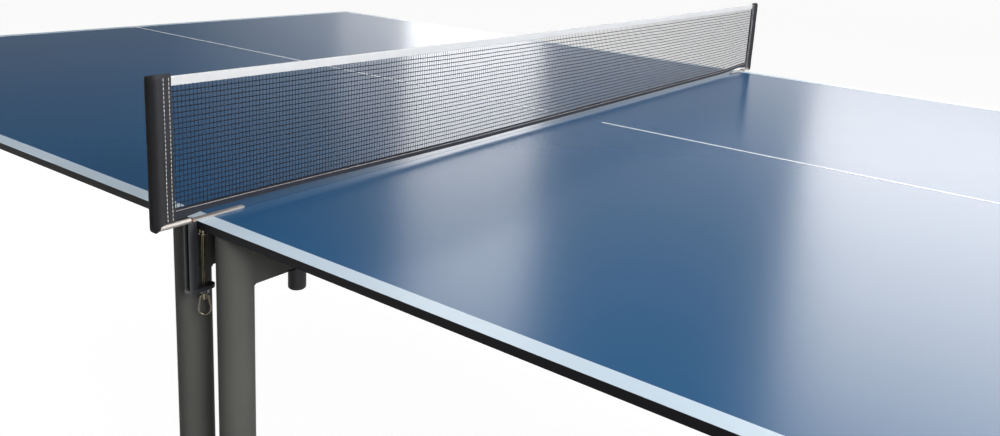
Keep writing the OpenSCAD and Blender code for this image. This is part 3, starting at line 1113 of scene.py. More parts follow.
@dataclass
class TableHalf(Assembly):
    """One half of the top: its board, the band round its edge and its painted lines.

    Attributes:
        band_at_joint: How thick the band is between the two boards.
    """

    half: Half
    band_at_joint: float = 0.1 * MM

    def build(self) -> None:
        """Dress the half, with only a film of the band left between the two boards."""
        name = self.half.value
        for node, finish in ((f"{name}_top", LACQUER), (f"{name}_edge_band", EDGE_BAND)):
            self.place(self.butted(node), "table", finish, replaces=[node])
        self.dress(LINE_PAINT, f"{name}_court_lines")

    def butted(self, node: str) -> Piece:
        """Copy a node with its face against the joint moved out to the film of the band.

        Args:
            node: The board or its band.

        Returns:
            The copy.
        """
        piece = merged_copy(node, f"{node}_butted")
        board_low, board_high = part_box(f"{self.half.value}_top")
        band_low, band_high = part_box(f"{self.half.value}_edge_band")
        face = min((board_low.x, board_high.x), key=abs)
        rim = min((band_low.x, band_high.x), key=abs)
        for vertex in piece.data.vertices:
            if abs(vertex.co.x - face) < 10 * SAME:
                vertex.co.x = rim + math.copysign(self.band_at_joint, rim)
        return piece


@dataclass
class Screw:
    """A wood screw's head with a cross recess, facing down, with the face it seats on at the origin.

    Attributes:
        domed: Whether it is a pan head. If not, it is countersunk.
        crown: How wide the rounding of a pan head is.
        sunk_share: How much of its radius a countersunk head keeps at its neck.
        seat: How far a pan head goes into what it holds.
        slot_width: The width of each arm of the cross.
        slot_length: The length of each arm from tip to tip.
    """

    domed: bool
    radius: float = 4.4 * MM
    height: float = 2.0 * MM
    crown: float = 1.4 * MM
    sunk_share: float = 0.55
    seat: float = 0.1 * MM
    slot_width: float = 1.1 * MM
    slot_length: float = 4.6 * MM
    slot_depth: float = 1.1 * MM

    def build(self, name: str) -> Piece:
        """Model the head.

        Args:
            name: The screw's name.

        Returns:
            The head.
        """
        low = Vector((0, 0, -self.height if self.domed else 0.0))
        high = Vector((0, 0, self.seat if self.domed else self.height))
        head = cylinder(name, self.radius, low, high, sides=20)
        shaped = low.z if self.domed else high.z
        pick(head, lambda a, b: abs(a.z - shaped) < SAME and abs(b.z - shaped) < SAME)
        if self.domed:
            bpy.ops.mesh.bevel(offset=self.crown, segments=3, affect="EDGES")
        else:
            bpy.ops.transform.resize(value=(self.sunk_share, self.sunk_share, 1.0))
        bpy.ops.object.mode_set(mode="OBJECT")
        half = Vector((self.slot_length, self.slot_width, 0)) / 2
        depth = Vector((0, 0, self.slot_depth))
        for reach in (half, Vector((half.y, half.x, 0))):
            cut(head, block("recess", low - reach - depth, low + reach + depth))
        return smooth(head, Sharpest.SCREW)

    def spread(self, name: str, places: Iterable[Vector]) -> Piece:
        """Put a copy of the screw at each place.

        Args:
            name: The name of the joined screws.
            places: Where the seats of the heads go.

        Returns:
            All the screws as one piece.
        """
        master = self.build(name)
        copies = [copied(master, Matrix.Translation(place)) for place in places]
        bpy.data.objects.remove(master)
        return join(name, copies)


@dataclass
class Rails(Assembly):
    """The square rails under both halves, their end caps and the screws that hold them.

    Attributes:
        corner: How wide the rounding of a long corner is.
        across: More than a tube's width. Shorter level edges run across its end.
        screws_per_rail: How many screws hold a rail.
        screw_inset: How far the outer screws are from the ends of a rail.
        caps: The node of the end caps.
    """

    corner: float = 2.0 * MM
    across: float = 26 * MM
    screws_per_rail: int = 4
    screw_inset: float = 60 * MM
    caps: str = "rail_end_caps"

    def build(self) -> None:
        """Round the rails' corners, and add their screws."""
        for node in ("side_rails", "cross_rails", self.caps):
            finish = PLASTIC if node == self.caps else FRAME_PAINT
            self.place(self.rounded(node), "table", finish, replaces=[node])
        self.place(Screw(domed=True).spread("rail_screws", self.screw_places()), "table", ZINC)

    def rounded(self, node: str) -> Piece:
        """Copy a node and round the long corners of its tubes.

        Args:
            node: The node.

        Returns:
            The copy.
        """
        low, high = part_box(node)
        piece = merged_copy(node, f"{node}_rounded")

        def long_corner(a: Vector, b: Vector) -> bool:
            """Tell whether an edge is on the outside of a tube, along it."""
            flat = abs(a.z - b.z) < SAME and min(abs(a.z - low.z), abs(a.z - high.z)) < SAME
            end_edge = (a - b).length < self.across and (node != self.caps or abs(a.x - b.x) < SAME)
            return flat and not end_edge

        round_picked(piece, long_corner, self.corner)
        return smooth(piece, Sharpest.TUBE)

    def screw_places(self) -> list[Vector]:
        """Return the place of each screw on the underside of the rails."""
        low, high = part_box("side_rails")
        cross_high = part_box("cross_rails")[1]
        half_width = (high.z - low.z) / 2
        side_start, cross_start = (
            min(v.co.x for v in NODES[node].data.vertices if v.co.x > 0)
            for node in ("side_rails", "cross_rails")
        )
        shares = [step / (self.screws_per_rail - 1) for step in range(self.screws_per_rail)]
        inset = self.screw_inset
        places = []
        for share in shares:
            x = side_start + inset + (high.x - side_start - 2 * inset) * share
            places += [Vector((h * x, s * (high.y - half_width), low.z)) for h in (-1, 1) for s in (-1, 1)]
            y = (2 * share - 1) * (cross_high.y - inset)
            for x in (cross_high.x - half_width, cross_start + half_width):
                places += [Vector((h * x, y, low.z)) for h in (-1, 1)]
        return places


@dataclass
class LegFrame(Assembly):
    """One folding frame: two legs, a cross tube, plugs, feet, knobs and the welds that join them.

    Attributes:
        bead: The mean radius of its weld beads.
        corner: How wide the rounding of the cross tube's long corners is.
        lug_longest: More than the length of any edge of a lug. A tube's edges are longer.
        knob_edge: How wide the rounding of a knob's edges is.
        knob_sharp: The angle, in degrees, over which a knob's edges are rounded.
    """

    half: Half
    frame: Frame
    bead: float = 1.7 * MM
    corner: float = 2.5 * MM
    lug_longest: float = 0.3
    knob_edge: float = 0.9 * MM
    knob_sharp: float = 50.0

    @property
    def name(self) -> str:
        """Return the start of the frame's part names."""
        return f"{self.half.value}_{self.frame.value}"

    def build(self) -> None:
        """Dress the frame, and add its rounded tube, its knobs and its welds."""
        name = self.name
        self.dress(FRAME_PAINT, f"{name}_front_leg", f"{name}_back_leg")
        self.dress(PLASTIC, f"{name}_leg_plugs")
        self.dress(RUBBER, f"{name}_feet")
        if self.frame is Frame.NET:
            self.dress(RUBBER, f"{name}_buffers")
        node = f"{name}_cross_tube"
        self.place(self.cross_tube(), f"{name}_frame", FRAME_PAINT, replaces=[node])
        for side in Side:
            knob = f"{name}_{side.value}_knob"
            piece = rounded_from(knob, self.knob_edge, self.knob_sharp)
            self.place(piece, knob, PLASTIC, replaces=[knob])
        welds = join(f"{name}_welds", [self.leg_weld(side) for side in Side])
        self.place(smooth(welds, Sharpest.WELD), f"{name}_frame", FRAME_PAINT)

    def tube_section(self) -> tuple[Vector, Vector]:
        """Return the corners of the cross tube itself, without its lugs."""
        points = [v.co for v in NODES[f"{self.name}_cross_tube"].data.vertices]
        top = max(p.z for p in points)
        flat = [p for p in points if top - p.z < SAME]
        low_x, high_x = min(p.x for p in flat), max(p.x for p in flat)
        far = max(p.y for p in points)
        clear = low_x if min(p.x for p in points) > low_x - 10 * SAME else high_x
        bottom = min(p.z for p in points if abs(p.x - clear) < SAME)
        return Vector((low_x, -far, bottom)), Vector((high_x, far, top))

    def cross_tube(self) -> Piece:
        """Copy the cross tube with its lugs, and round the tube's long corners."""
        low, high = self.tube_section()
        piece = merged_copy(f"{self.name}_cross_tube", f"{self.name}_cross_tube_rounded")

        def long_corner(a: Vector, b: Vector) -> bool:
            """Tell whether an edge runs along an outer corner of the tube."""
            on_flat = all(min(abs(p.z - low.z), abs(p.z - high.z)) < SAME for p in (a, b))
            return on_flat and (a - b).length > self.lug_longest

        round_picked(piece, long_corner, self.corner)
        return smooth(piece, Sharpest.TUBE)

    def leg_weld(self, side: Side) -> Piece:
        """Make the bead all round the joint of the cross tube and a leg.

        Args:
            side: The side of the leg.

        Returns:
            The bead, as a closed rippled tube.
        """
        low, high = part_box(f"{self.name}_{side.value}_leg")
        tube_low, tube_high = self.tube_section()
        axis = (low + high) / 2
        radius = (high.x - low.x) / 2
        lean = math.asin((tube_high.x - tube_low.x) / 2 / radius)
        height = tube_high.z - tube_low.z
        bow = 2 * lean * radius
        total = 2 * (height + bow)

        def on_joint(share: float) -> tuple[Vector, Vector]:
            """Return a point on the joint and the way out from it."""
            run = (share % 1.0) * total
            if run < bow:
                angle, z, lift = run / radius - lean, tube_low.z, -1.0
            elif run < bow + height:
                angle, z, lift = lean, tube_low.z + run - bow, 0.0
            elif run < 2 * bow + height:
                angle, z, lift = lean - (run - bow - height) / radius, tube_high.z, 1.0
            else:
                angle, z, lift = -lean, tube_high.z - (run - 2 * bow - height), 0.0
            out = Vector((math.sin(angle), -side.sign * math.cos(angle), 0.0))
            aside = Vector((math.copysign(1.0 - abs(lift), angle), 0.0, lift))
            return Vector((axis.x, axis.y, z)) + radius * out, (out + aside).normalized()

        return weld_bead(f"{self.name}_{side.value}_weld", on_joint, total, self.bead)


@dataclass
class Hinges(Assembly):
    """The fold brackets under the boards, their bolts and the screws that hold them.

    Attributes:
        hole_inset: How far a screw is from the edges of its base plate.
        base: How thick a base plate is.
    """

    hole_inset: float = 8 * MM
    base: float = 3 * MM

    def build(self) -> None:
        """Dress the brackets, and add their screws."""
        self.dress(ZINC, "hinge_brackets", "pivot_bolts")
        self.place(Screw(domed=False).spread("bracket_screws", self.screw_places()), "table", ZINC)

    def screw_places(self) -> list[Vector]:
        """Return the place of each screw hole in the base plates, found from the plates' corners."""
        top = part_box("hinge_brackets")[1].z
        corners = {
            (round(v.co.x, 5), round(v.co.y, 5))
            for v in NODES["hinge_brackets"].data.vertices
            if top - v.co.z < SAME
        }
        middle = sum(abs(x) for x, y in corners) / len(corners)
        plates: dict[tuple[bool, bool, bool], list[tuple[float, float]]] = {}
        for x, y in sorted(corners):
            plates.setdefault((x > 0, y > 0, abs(x) > middle), []).append((x, y))
        places = []
        for key in sorted(plates):
            ends = [(min(run) + self.hole_inset, max(run) - self.hole_inset) for run in zip(*plates[key])]
            places += [Vector((x, y, top - self.base)) for x in ends[0] for y in ends[1]]
        return places


@dataclass
class Net(Assembly):
    """The net: knotted cords, a folded tape along its top, a hem along its foot and a sleeve at each end.

    Attributes:
        column_pitch: The distance between upright cords.
        row_pitch: The distance between level cords.
        first_row: How many rows' pitch the lowest level cord stands above the foot of the net.
        upright_cells: How many straight parts an upright cord has.
        level_cells: How many straight parts a level cord has.
        slack: How far the cords wander from straight.
        sag: How far the top of the net hangs below its ends.
        hem_depth: How deep the hem is along most of the net.
        hem_end: How deep it is where it goes into a sleeve.
        hem_flare: Over what length it gets deeper.
        hem_head: How far it reaches above its seam.
        droop: How far the foot of the net hangs below its ends.
        front_span: Over what length from its front end it sinks that far.
        back_span: The same from its back end.
        strip_cells: How many cells long the tape and the hem are.
        sleeve_inset: How far its inner edge is from where the frame has it.
        flap: Half the thickness of its two layers where they are sewn together.
        flap_reach: How far the sewn layers stay away from the post's axis.
        wrap: How far past the post's middle, in degrees, the cloth stays round.
        pinch: How much of its top and foot is drawn in.
        round_off: How much of its outer lower corner is rounded.
        rise: How far the cloth rises in that corner.
        tuck: How far the tape and the hem go into a sleeve.
        seams: How far the two seams are from the inner edge.
        hem_stitch: From one stitch of the hem's seam to the next.
        hem_stitch_fill: How much of the step a stitch of it takes.
        crease: How deep the creases of a sleeve are.
    """

    column_pitch: float = 4.70 * MM
    row_pitch: float = 5.69 * MM
    first_row: float = 0.45
    upright_radius: float = 0.34 * MM
    level_radius: float = 0.57 * MM
    knot_radius: float = 0.70 * MM
    upright_cells: int = 8
    level_cells: int = 96
    slack: float = 0.7 * MM
    sag: float = 3.0 * MM
    tape_height: float = 10.3 * MM
    tape_wall: float = 0.5 * MM
    hem_wall: float = 0.45 * MM
    hem_depth: float = 5.6 * MM
    hem_end: float = 9.5 * MM
    hem_flare: float = 47 * MM
    hem_head: float = 1.8 * MM
    droop: float = 5.2 * MM
    front_span: float = 0.55
    back_span: float = 0.16
    strip_cells: int = 320
    sleeve_wall: float = 0.5 * MM
    sleeve_inset: float = 2 * MM
    flap: float = 1.6 * MM
    flap_reach: float = 11 * MM
    wrap: float = 25.0
    pinch: float = 5 * MM
    round_off: float = 6 * MM
    rise: float = 13 * MM
    tuck: float = 7 * MM
    stitch: float = 3.9 * MM
    stitch_gap: float = 0.6 * MM
    stitch_radius: float = 0.42 * MM
    seams: tuple[float, float] = (4.8 * MM, 10.8 * MM)
    hem_stitch: float = 1.9 * MM
    hem_stitch_radius: float = 0.62 * MM
    hem_stitch_fill: float = 1.12
    crease: float = 0.8 * MM

    def build(self) -> None:
        """Build the net's pieces."""
        low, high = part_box("net_mesh")
        self.reach = high.y
        self.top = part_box("net_tape")[1].z
        self.foot = low.z
        mesh = self.place(self.netting(), "net", NET_CORD, replaces=["net_mesh"])
        tape = self.place(self.tape(), "net", TAPE_CLOTH, replaces=["net_tape"])
        hem = self.place(self.hem(), "net", HEM_CLOTH, replaces=["net_hem"])
        seam = self.place(self.hem_seam(), "net", HEM_THREAD)
        for side in Side:
            node = f"{side.value}_sleeve"
            sleeve = self.place(self.sleeve(side), "net", SLEEVE_CLOTH, replaces=[node])
            stitches = self.place(self.sleeve_stitches(side), "net", THREAD)

    def sagging(self, y: float) -> float:
        """Return how far the top of the net hangs below its ends at a place along it."""
        return self.sag * (1.0 - min(1.0, (y / self.reach) ** 2))

    def drooping(self, y: float) -> float:
        """Return how far the foot of the net hangs below its ends at a place along it."""
        front, back = (self.reach + y) / self.front_span, (self.reach - y) / self.back_span
        return self.droop * min(ease(front), ease(back))

    def hang(self, piece: Piece) -> None:
        """Lower a piece's points with the top and the foot of the net, and let them wander a little.

        Args:
            piece: The netting, drawn straight.
        """
        height = self.top - self.foot
        bow_waves, cord_waves = (0, 4, 5), (0, 14, 17)
        for vertex in piece.data.vertices:
            spot = Vector(vertex.co)
            share = max(0.0, min(1.0, (spot.z - self.foot) / height))
            loose = self.slack * math.sin(math.pi * share) ** 0.5
            wave = ripple(spot, bow_waves, 5.1)
            aside, rise = (ripple(spot, cord_waves, start) for start in (0.3, 9.7))
            lowered = share * self.sagging(spot.y) + (1.0 - share) * self.drooping(spot.y)
            vertex.co += loose * Vector((wave, aside, rise)) - Vector((0, 0, lowered))

    def netting(self) -> Piece:
        """Make the knotted net: upright cords, level cords and a knot at each crossing."""
        columns = int(2 * self.reach / self.column_pitch)
        start = -columns * self.column_pitch / 2
        first_row = self.foot + self.first_row * self.row_pitch
        rows = int((self.top - self.tape_height - first_row) / self.row_pitch) + 1
        hidden, tucked = 4 * MM, 2 * MM
        cord_sides = 6
        low, high = Vector((0, start, self.foot - hidden)), Vector((0, start, self.top - hidden))
        next_column, next_row = Vector((0, self.column_pitch, 0)), Vector((0, 0, self.row_pitch))
        upright = cylinder("uprights", self.upright_radius, low, high, cord_sides)
        divide(upright, Vector((0, 0, 1)), self.upright_cells)
        repeat(upright, columns + 1, next_column)
        end = self.reach + tucked
        near, far = Vector((0, -end, first_row)), Vector((0, end, first_row))
        level = cylinder("levels", self.level_radius, near, far, cord_sides)
        divide(level, Vector((0, 1, 0)), self.level_cells)
        repeat(level, rows, next_row)
        spot = (0, start, first_row)
        knots = primitive(
            "knots", "uv_sphere", segments=4, ring_count=2, radius=self.knot_radius, location=spot
        )
        repeat(knots, columns + 1, next_column)
        repeat(knots, rows, next_row)
        net = join("netting", [upright, level, knots])
        self.hang(net)
        length = 2 * self.reach
        height = self.top - self.tape_height - self.foot
        uprights = self.upright_radius * (columns + 1) * (high.z - self.foot)
        cords = 2 * math.pi * (uprights + self.level_radius * rows * length)
        self.mesh_cut = (length, height)
        self.mesh_area = min(length * height, cords / 2)
        return smooth(net, Sharpest.ROUND)

    def tape(self) -> Piece:
        """Make the tape: a strip folded over the top of the net and tucked into the sleeves."""
        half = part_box("net_tape")[1].x - self.tape_wall / 2
        end = self.reach + self.tuck
        path = hairpin(half, -self.tape_height, -half, 0)
        squeezed, squeezed_from = 0.8, self.reach - 1 * MM
        depth, waves = 0.12 * MM, (900, 40, 120)

        def at(point: Vector, along: float) -> Vector:
            """Return the place of a point of the fold, sagging and squeezed inside the sleeves."""
            y = (2 * along - 1) * end
            squeeze = squeezed if abs(y) > squeezed_from else 1.0
            x = point.x * squeeze + depth * ripple((point.x, y, point.y), waves)
            return Vector((x, y, self.top + point.y - self.sagging(y)))

        self.tape_cut = (strip_length(path), 2 * end)
        return folded_cloth("tape", path, self.tape_wall, self.strip_cells, at, 2 * end)

    def hem(self) -> Piece:
        """Make the hem: a strip folded under the foot of the net."""
        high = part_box("net_hem")[1]
        half = high.x - self.hem_wall / 2
        end = self.reach + self.tuck
        path = hairpin(half, high.z + self.hem_head, high.z - self.hem_depth + half, 360)
        depth, waves = 0.25 * MM, (0, 30, 60)

        def at(point: Vector, along: float) -> Vector:
            """Return the place of a point of the fold, which gets deeper beside the sleeves."""
            y = (2 * along - 1) * end
            flare = ease((abs(y) - self.reach + self.hem_flare) / self.hem_flare)
            deeper = 1.0 + (self.hem_end / self.hem_depth - 1.0) * flare
            x = point.x + depth * ripple((0.0, y, point.y), waves, 2.0)
            return Vector((x, y, high.z - deeper * (high.z - point.y) - self.drooping(y)))

        self.hem_cut = (strip_length(path), 2 * end)
        return folded_cloth("hem", path, self.hem_wall, self.strip_cells, at, 2 * end)

    def stitch_row(
        self, name: str, start: Vector, step: Vector, count: int, radius: float, fill: float
    ) -> Piece:
        """Make a row of stitches.

        Args:
            name: The row's name.
            start: The middle of the first stitch.
            step: From one stitch to the next.
            count: How many stitches there are.
            radius: The thread's radius.
            fill: How much of the step a stitch takes.

        Returns:
            The row.
        """
        piece = primitive(name, "uv_sphere", segments=6, ring_count=4, radius=1.0)
        turn = step.to_track_quat("Z", "X").to_matrix().to_4x4()
        shape = Matrix.Diagonal((radius, radius, step.length * fill / 2, 1.0))
        piece.data.transform(Matrix.Translation(start) @ turn @ shape)
        repeat(piece, count, step)
        return smooth(piece, Sharpest.ROUND)

    def hem_seam(self) -> Piece:
        """Make the pale chain of stitches along the upper edge of the hem, on both faces."""
        low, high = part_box("net_hem")
        step = Vector((0, self.hem_stitch, 0))
        count = int(2 * self.reach / step.y)
        proud, above = 0.1 * MM, 0.2 * MM
        radius, fill = self.hem_stitch_radius, self.hem_stitch_fill
        rows = []
        for x in (low.x - proud, high.x + proud):
            start = Vector((x, -count * step.y / 2, high.z + above))
            rows.append(self.stitch_row("hem_row", start, step, count, radius, fill))
        seam = join("hem_seam", rows)
        for vertex in seam.data.vertices:
            vertex.co.z -= self.drooping(vertex.co.y)
        return seam

    def sleeve(self, side: Side) -> Piece:
        """Make a sleeve: cloth folded round a post, its two layers sewn together beside the net.

        Args:
            side: The side of the table it is on.

        Returns:
            The sleeve.
        """
        low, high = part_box(f"{side.value}_sleeve")
        outer = max(abs(low.y), abs(high.y))
        inner = min(abs(low.y), abs(high.y)) + self.sleeve_inset
        radius = high.x - self.sleeve_wall / 2
        axis = outer - high.x
        flap = self.flap - self.sleeve_wall / 2
        flap_from = axis - self.flap_reach
        lean = math.radians(self.wrap)
        wide, shoulder = radius * math.cos(lean), axis - radius * math.sin(lean)
        shoulder_cells, round_cells = 6, 22
        path = [
            *segment((flap, inner), (flap, flap_from), LAYER_CELLS),
            *segment((flap, flap_from), (wide, shoulder), shoulder_cells),
            *arc((0, axis), radius, -self.wrap, 180 + self.wrap, round_cells),
            *segment((-wide, shoulder), (-flap, flap_from), shoulder_cells),
            *segment((-flap, flap_from), (-flap, inner), LAYER_CELLS),
        ]
        hem_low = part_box("net_hem")[0].z
        step_from, step_over = axis - 2 * MM, 4 * MM

        def foot(y: float) -> float:
            """Return how low the cloth hangs at a distance from the middle of the table."""
            lowest = low.z + (hem_low - low.z) * ease((step_from - y) / step_over)
            past = min(1.0, max(0.0, (y - (outer - self.round_off)) / self.round_off))
            return lowest + self.rise * (1.0 - math.sqrt(1.0 - past * past))

        def at(point: Vector, along: float) -> Vector:
            """Return the place of a point of the fold, with the top pinched shut."""
            bottom = foot(point.y)
            z = bottom + (high.z - bottom) * along
            up = max(0.0, (z - (high.z - self.pinch)) / self.pinch)
            down = max(0.0, (low.z + self.pinch - z) / self.pinch)
            x = point.x * self.pinched(max(up, down), 0.12) + self.creased(point.x, point.y, z) * (1.0 - up)
            return Vector((x, side.sign * point.y, z))

        height = high.z - low.z
        cells = 60
        self.sleeve_cut = (strip_length(path), height)
        return folded_cloth(f"{side.value}_sleeve_cloth", path, self.sleeve_wall, cells, at, height)

    def pinched(self, share: float, least: float) -> float:
        """Return what is left of a sleeve's thickness at a share of the way into a pinched end."""
        return max(least, math.sqrt(max(0.0, 1.0 - share**2)))

    def creased(self, x: float, y: float, z: float) -> float:
        """Return how far the cloth of a sleeve is pushed along X by its creases at a place."""
        slant = 2 / 7
        long_fold = 0.5 * ripple((x, y, z), (300, 70, 26))
        short_fold = 0.3 * ripple((x, y + slant * z, z), (300, 210, 130), 4.0)
        return self.crease * (long_fold + short_fold)

    def sleeve_stitches(self, side: Side) -> Piece:
        """Make the two dashed seams on each face of a sleeve.

        Args:
            side: The side of the table.

        Returns:
            The stitches.
        """
        low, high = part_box(f"{side.value}_sleeve")
        inner = min(abs(low.y), abs(high.y))
        step = Vector((0, 0, self.stitch + self.stitch_gap))
        clear, face_at = 1 * MM, 1.55 * MM
        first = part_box("net_hem")[0].z + clear
        count = int((high.z - first) / step.z)
        fill = self.stitch / step.z
        rows = []
        for inset in self.seams:
            for face in (-1, 1):
                start = Vector((face * face_at, side.sign * (inner + inset), first + step.z / 2))
                rows.append(self.stitch_row("seam", start, step, count, self.stitch_radius, fill))
        seams = join(f"{side.value}_sleeve_stitches", rows)
        for vertex in seams.data.vertices:
            spot = vertex.co
            up = max(0.0, (spot.z - (high.z - self.pinch)) / self.pinch)
            crease = self.creased(math.copysign(self.flap, spot.x), abs(spot.y), spot.z)
            vertex.co.x = spot.x * self.pinched(up, 0.3) + crease * (1.0 - up)
        return seams


@dataclass
class NetClamp(Assembly):
    """A net clamp: its post, plate, channel, threaded screw, pressure pad and loop.

    Attributes:
        rib_half: Half the height of the thread's rib, as a share of the pitch.
        rib_sink: How far the rib reaches into the core.
        turn_steps: How many straight parts a turn of the thread has.
        shank: How long the screw's plain end is.
        tip: How far the thread ends below the top of the screw.
        wire_hole: The radius of the hole for the loop.
        wire: The radius of the loop's wire.
        loop_turn: The way the hole runs, in degrees from +X.
        plate_share: How wide the plate is beside the CAD's.
        edge: How wide the rounding of the plate's and the channel's edges is.
        pad_edge: How wide the rounding of the pad's edges is.
        braze_size: How far the lump of braze reaches along each axis.
    """

    side: Side
    pitch: float = 0.8 * MM
    thread_depth: float = 0.45 * MM
    rib_half: float = 0.44
    rib_sink: float = 0.05 * MM
    turn_steps: int = 12
    shank: float = 9 * MM
    tip: float = 5 * MM
    wire_hole: float = 0.95 * MM
    wire: float = 0.9 * MM
    loop_turn: float = 50.0
    plate_share: float = 0.38
    edge: float = 0.3 * MM
    pad_edge: float = 0.25 * MM
    braze_size: tuple[float, float, float] = (3.9 * MM, 2.0 * MM, 2.9 * MM)

    def build(self) -> None:
        """Dress the clamp, and add its rounded steel, its thread and its brazed joint."""
        name = self.side.value
        self.dress(CHROME, f"{name}_post")
        self.dress(SCREW_STEEL, f"{name}_screw_loop")
        for node, body, width, finish in (
            ("clamp_plate", "table", self.edge, PLATE_STEEL),
            ("clamp_body", "table", self.edge, DARK_STEEL),
            ("pressure_pad", f"{name}_pad", self.pad_edge, SCREW_STEEL),
        ):
            node = f"{name}_{node}"
            piece = rounded_from(node, width)
            if node.endswith("clamp_plate"):
                piece.data.transform(Matrix.Diagonal((self.plate_share, 1.0, 1.0, 1.0)))
            self.place(piece, body, finish, replaces=[node])
        screw = self.screw()
        self.place(screw, f"{name}_screw", SCREW_STEEL, replaces=[f"{name}_clamp_screw"])
        self.place(self.braze(), "table", BRAZE)

    def screw(self) -> Piece:
        """Model the clamp screw with a real thread, a plain end and the hole for its loop."""
        low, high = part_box(f"{self.side.value}_clamp_screw")
        axis = (low + high) / 2
        radius = (high.x - low.x) / 2
        root = radius - self.thread_depth
        thread_low, thread_high = low.z + self.shank, high.z - self.tip

        def on_axis(z: float) -> Vector:
            """Return the point of the screw's axis at a height."""
            return Vector((axis.x, axis.y, z))

        sides, overlap, chamfer = 24, 1 * MM, 0.4 * MM
        core = cylinder("core", root, on_axis(thread_low - overlap), on_axis(high.z), sides)
        end = cylinder("end", radius, on_axis(low.z), on_axis(thread_low), sides)
        round_edges(end, chamfer, degrees=60.0)
        pin_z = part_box(f"{self.side.value}_screw_loop")[1].z - self.wire
        turn = math.radians(self.loop_turn)
        across = 2 * radius * Vector((math.cos(turn), -self.side.sign * math.sin(turn), 0))
        cut(end, cylinder("hole", self.wire_hole, on_axis(pin_z) - across, on_axis(pin_z) + across, sides=20))
        thread = self.thread(root, radius, thread_low, thread_high)
        thread.data.transform(Matrix.Translation(on_axis(thread_low)))
        return smooth(join(f"{self.side.value}_threaded_screw", [end, core, thread]))

    def thread(self, root: float, radius: float, low: float, high: float) -> Piece:
        """Wind a wedge-shaped rib into a thread round the Z axis, from the origin up.

        Args:
            root: The radius of the core.
            radius: The outer radius.
            low: Where the thread starts.
            high: Where it ends.

        Returns:
            The rib.
        """
        rib = primitive("thread", "circle", vertices=3, radius=self.pitch / 2)
        half = self.rib_half * self.pitch
        sunk = root - self.rib_sink
        wedge = ((sunk, -half), (radius, 0.0), (sunk, half))
        for vertex, (x, z) in zip(rib.data.vertices, wedge):
            vertex.co = (x, 0, z + half)
        turns = int((high - low - 2 * half) / self.pitch)
        winding = {"angle": 2 * math.pi, "screw_offset": self.pitch, "iterations": turns}
        steps = self.turn_steps
        modify(rib, "SCREW", steps=steps, render_steps=steps, use_normal_calculate=True, **winding)
        outwards(rib)
        close_holes(rib)
        return rib

    def braze(self) -> Piece:
        """Make the lump of braze that joins the post's foot to the plate."""
        plate_low, plate_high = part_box(f"{self.side.value}_clamp_plate")
        edge = max(abs(plate_low.y), abs(plate_high.y))
        lump = primitive(f"{self.side.value}_braze", "uv_sphere", segments=20, ring_count=12, radius=1.0)
        lump.data.transform(Matrix.Diagonal((*self.braze_size, 1.0)))
        shift, unevenness, waves = 0.3 * MM, 0.16, (700, 700, 700)
        middle = Vector((0, self.side.sign * (edge + shift), (plate_low.z + plate_high.z) / 2 + shift))
        for vertex in lump.data.vertices:
            bulge = 1.0 + unevenness * ripple(vertex.co, waves)
            vertex.co = middle + vertex.co * bulge
        return smooth(lump, Sharpest.ROUND)


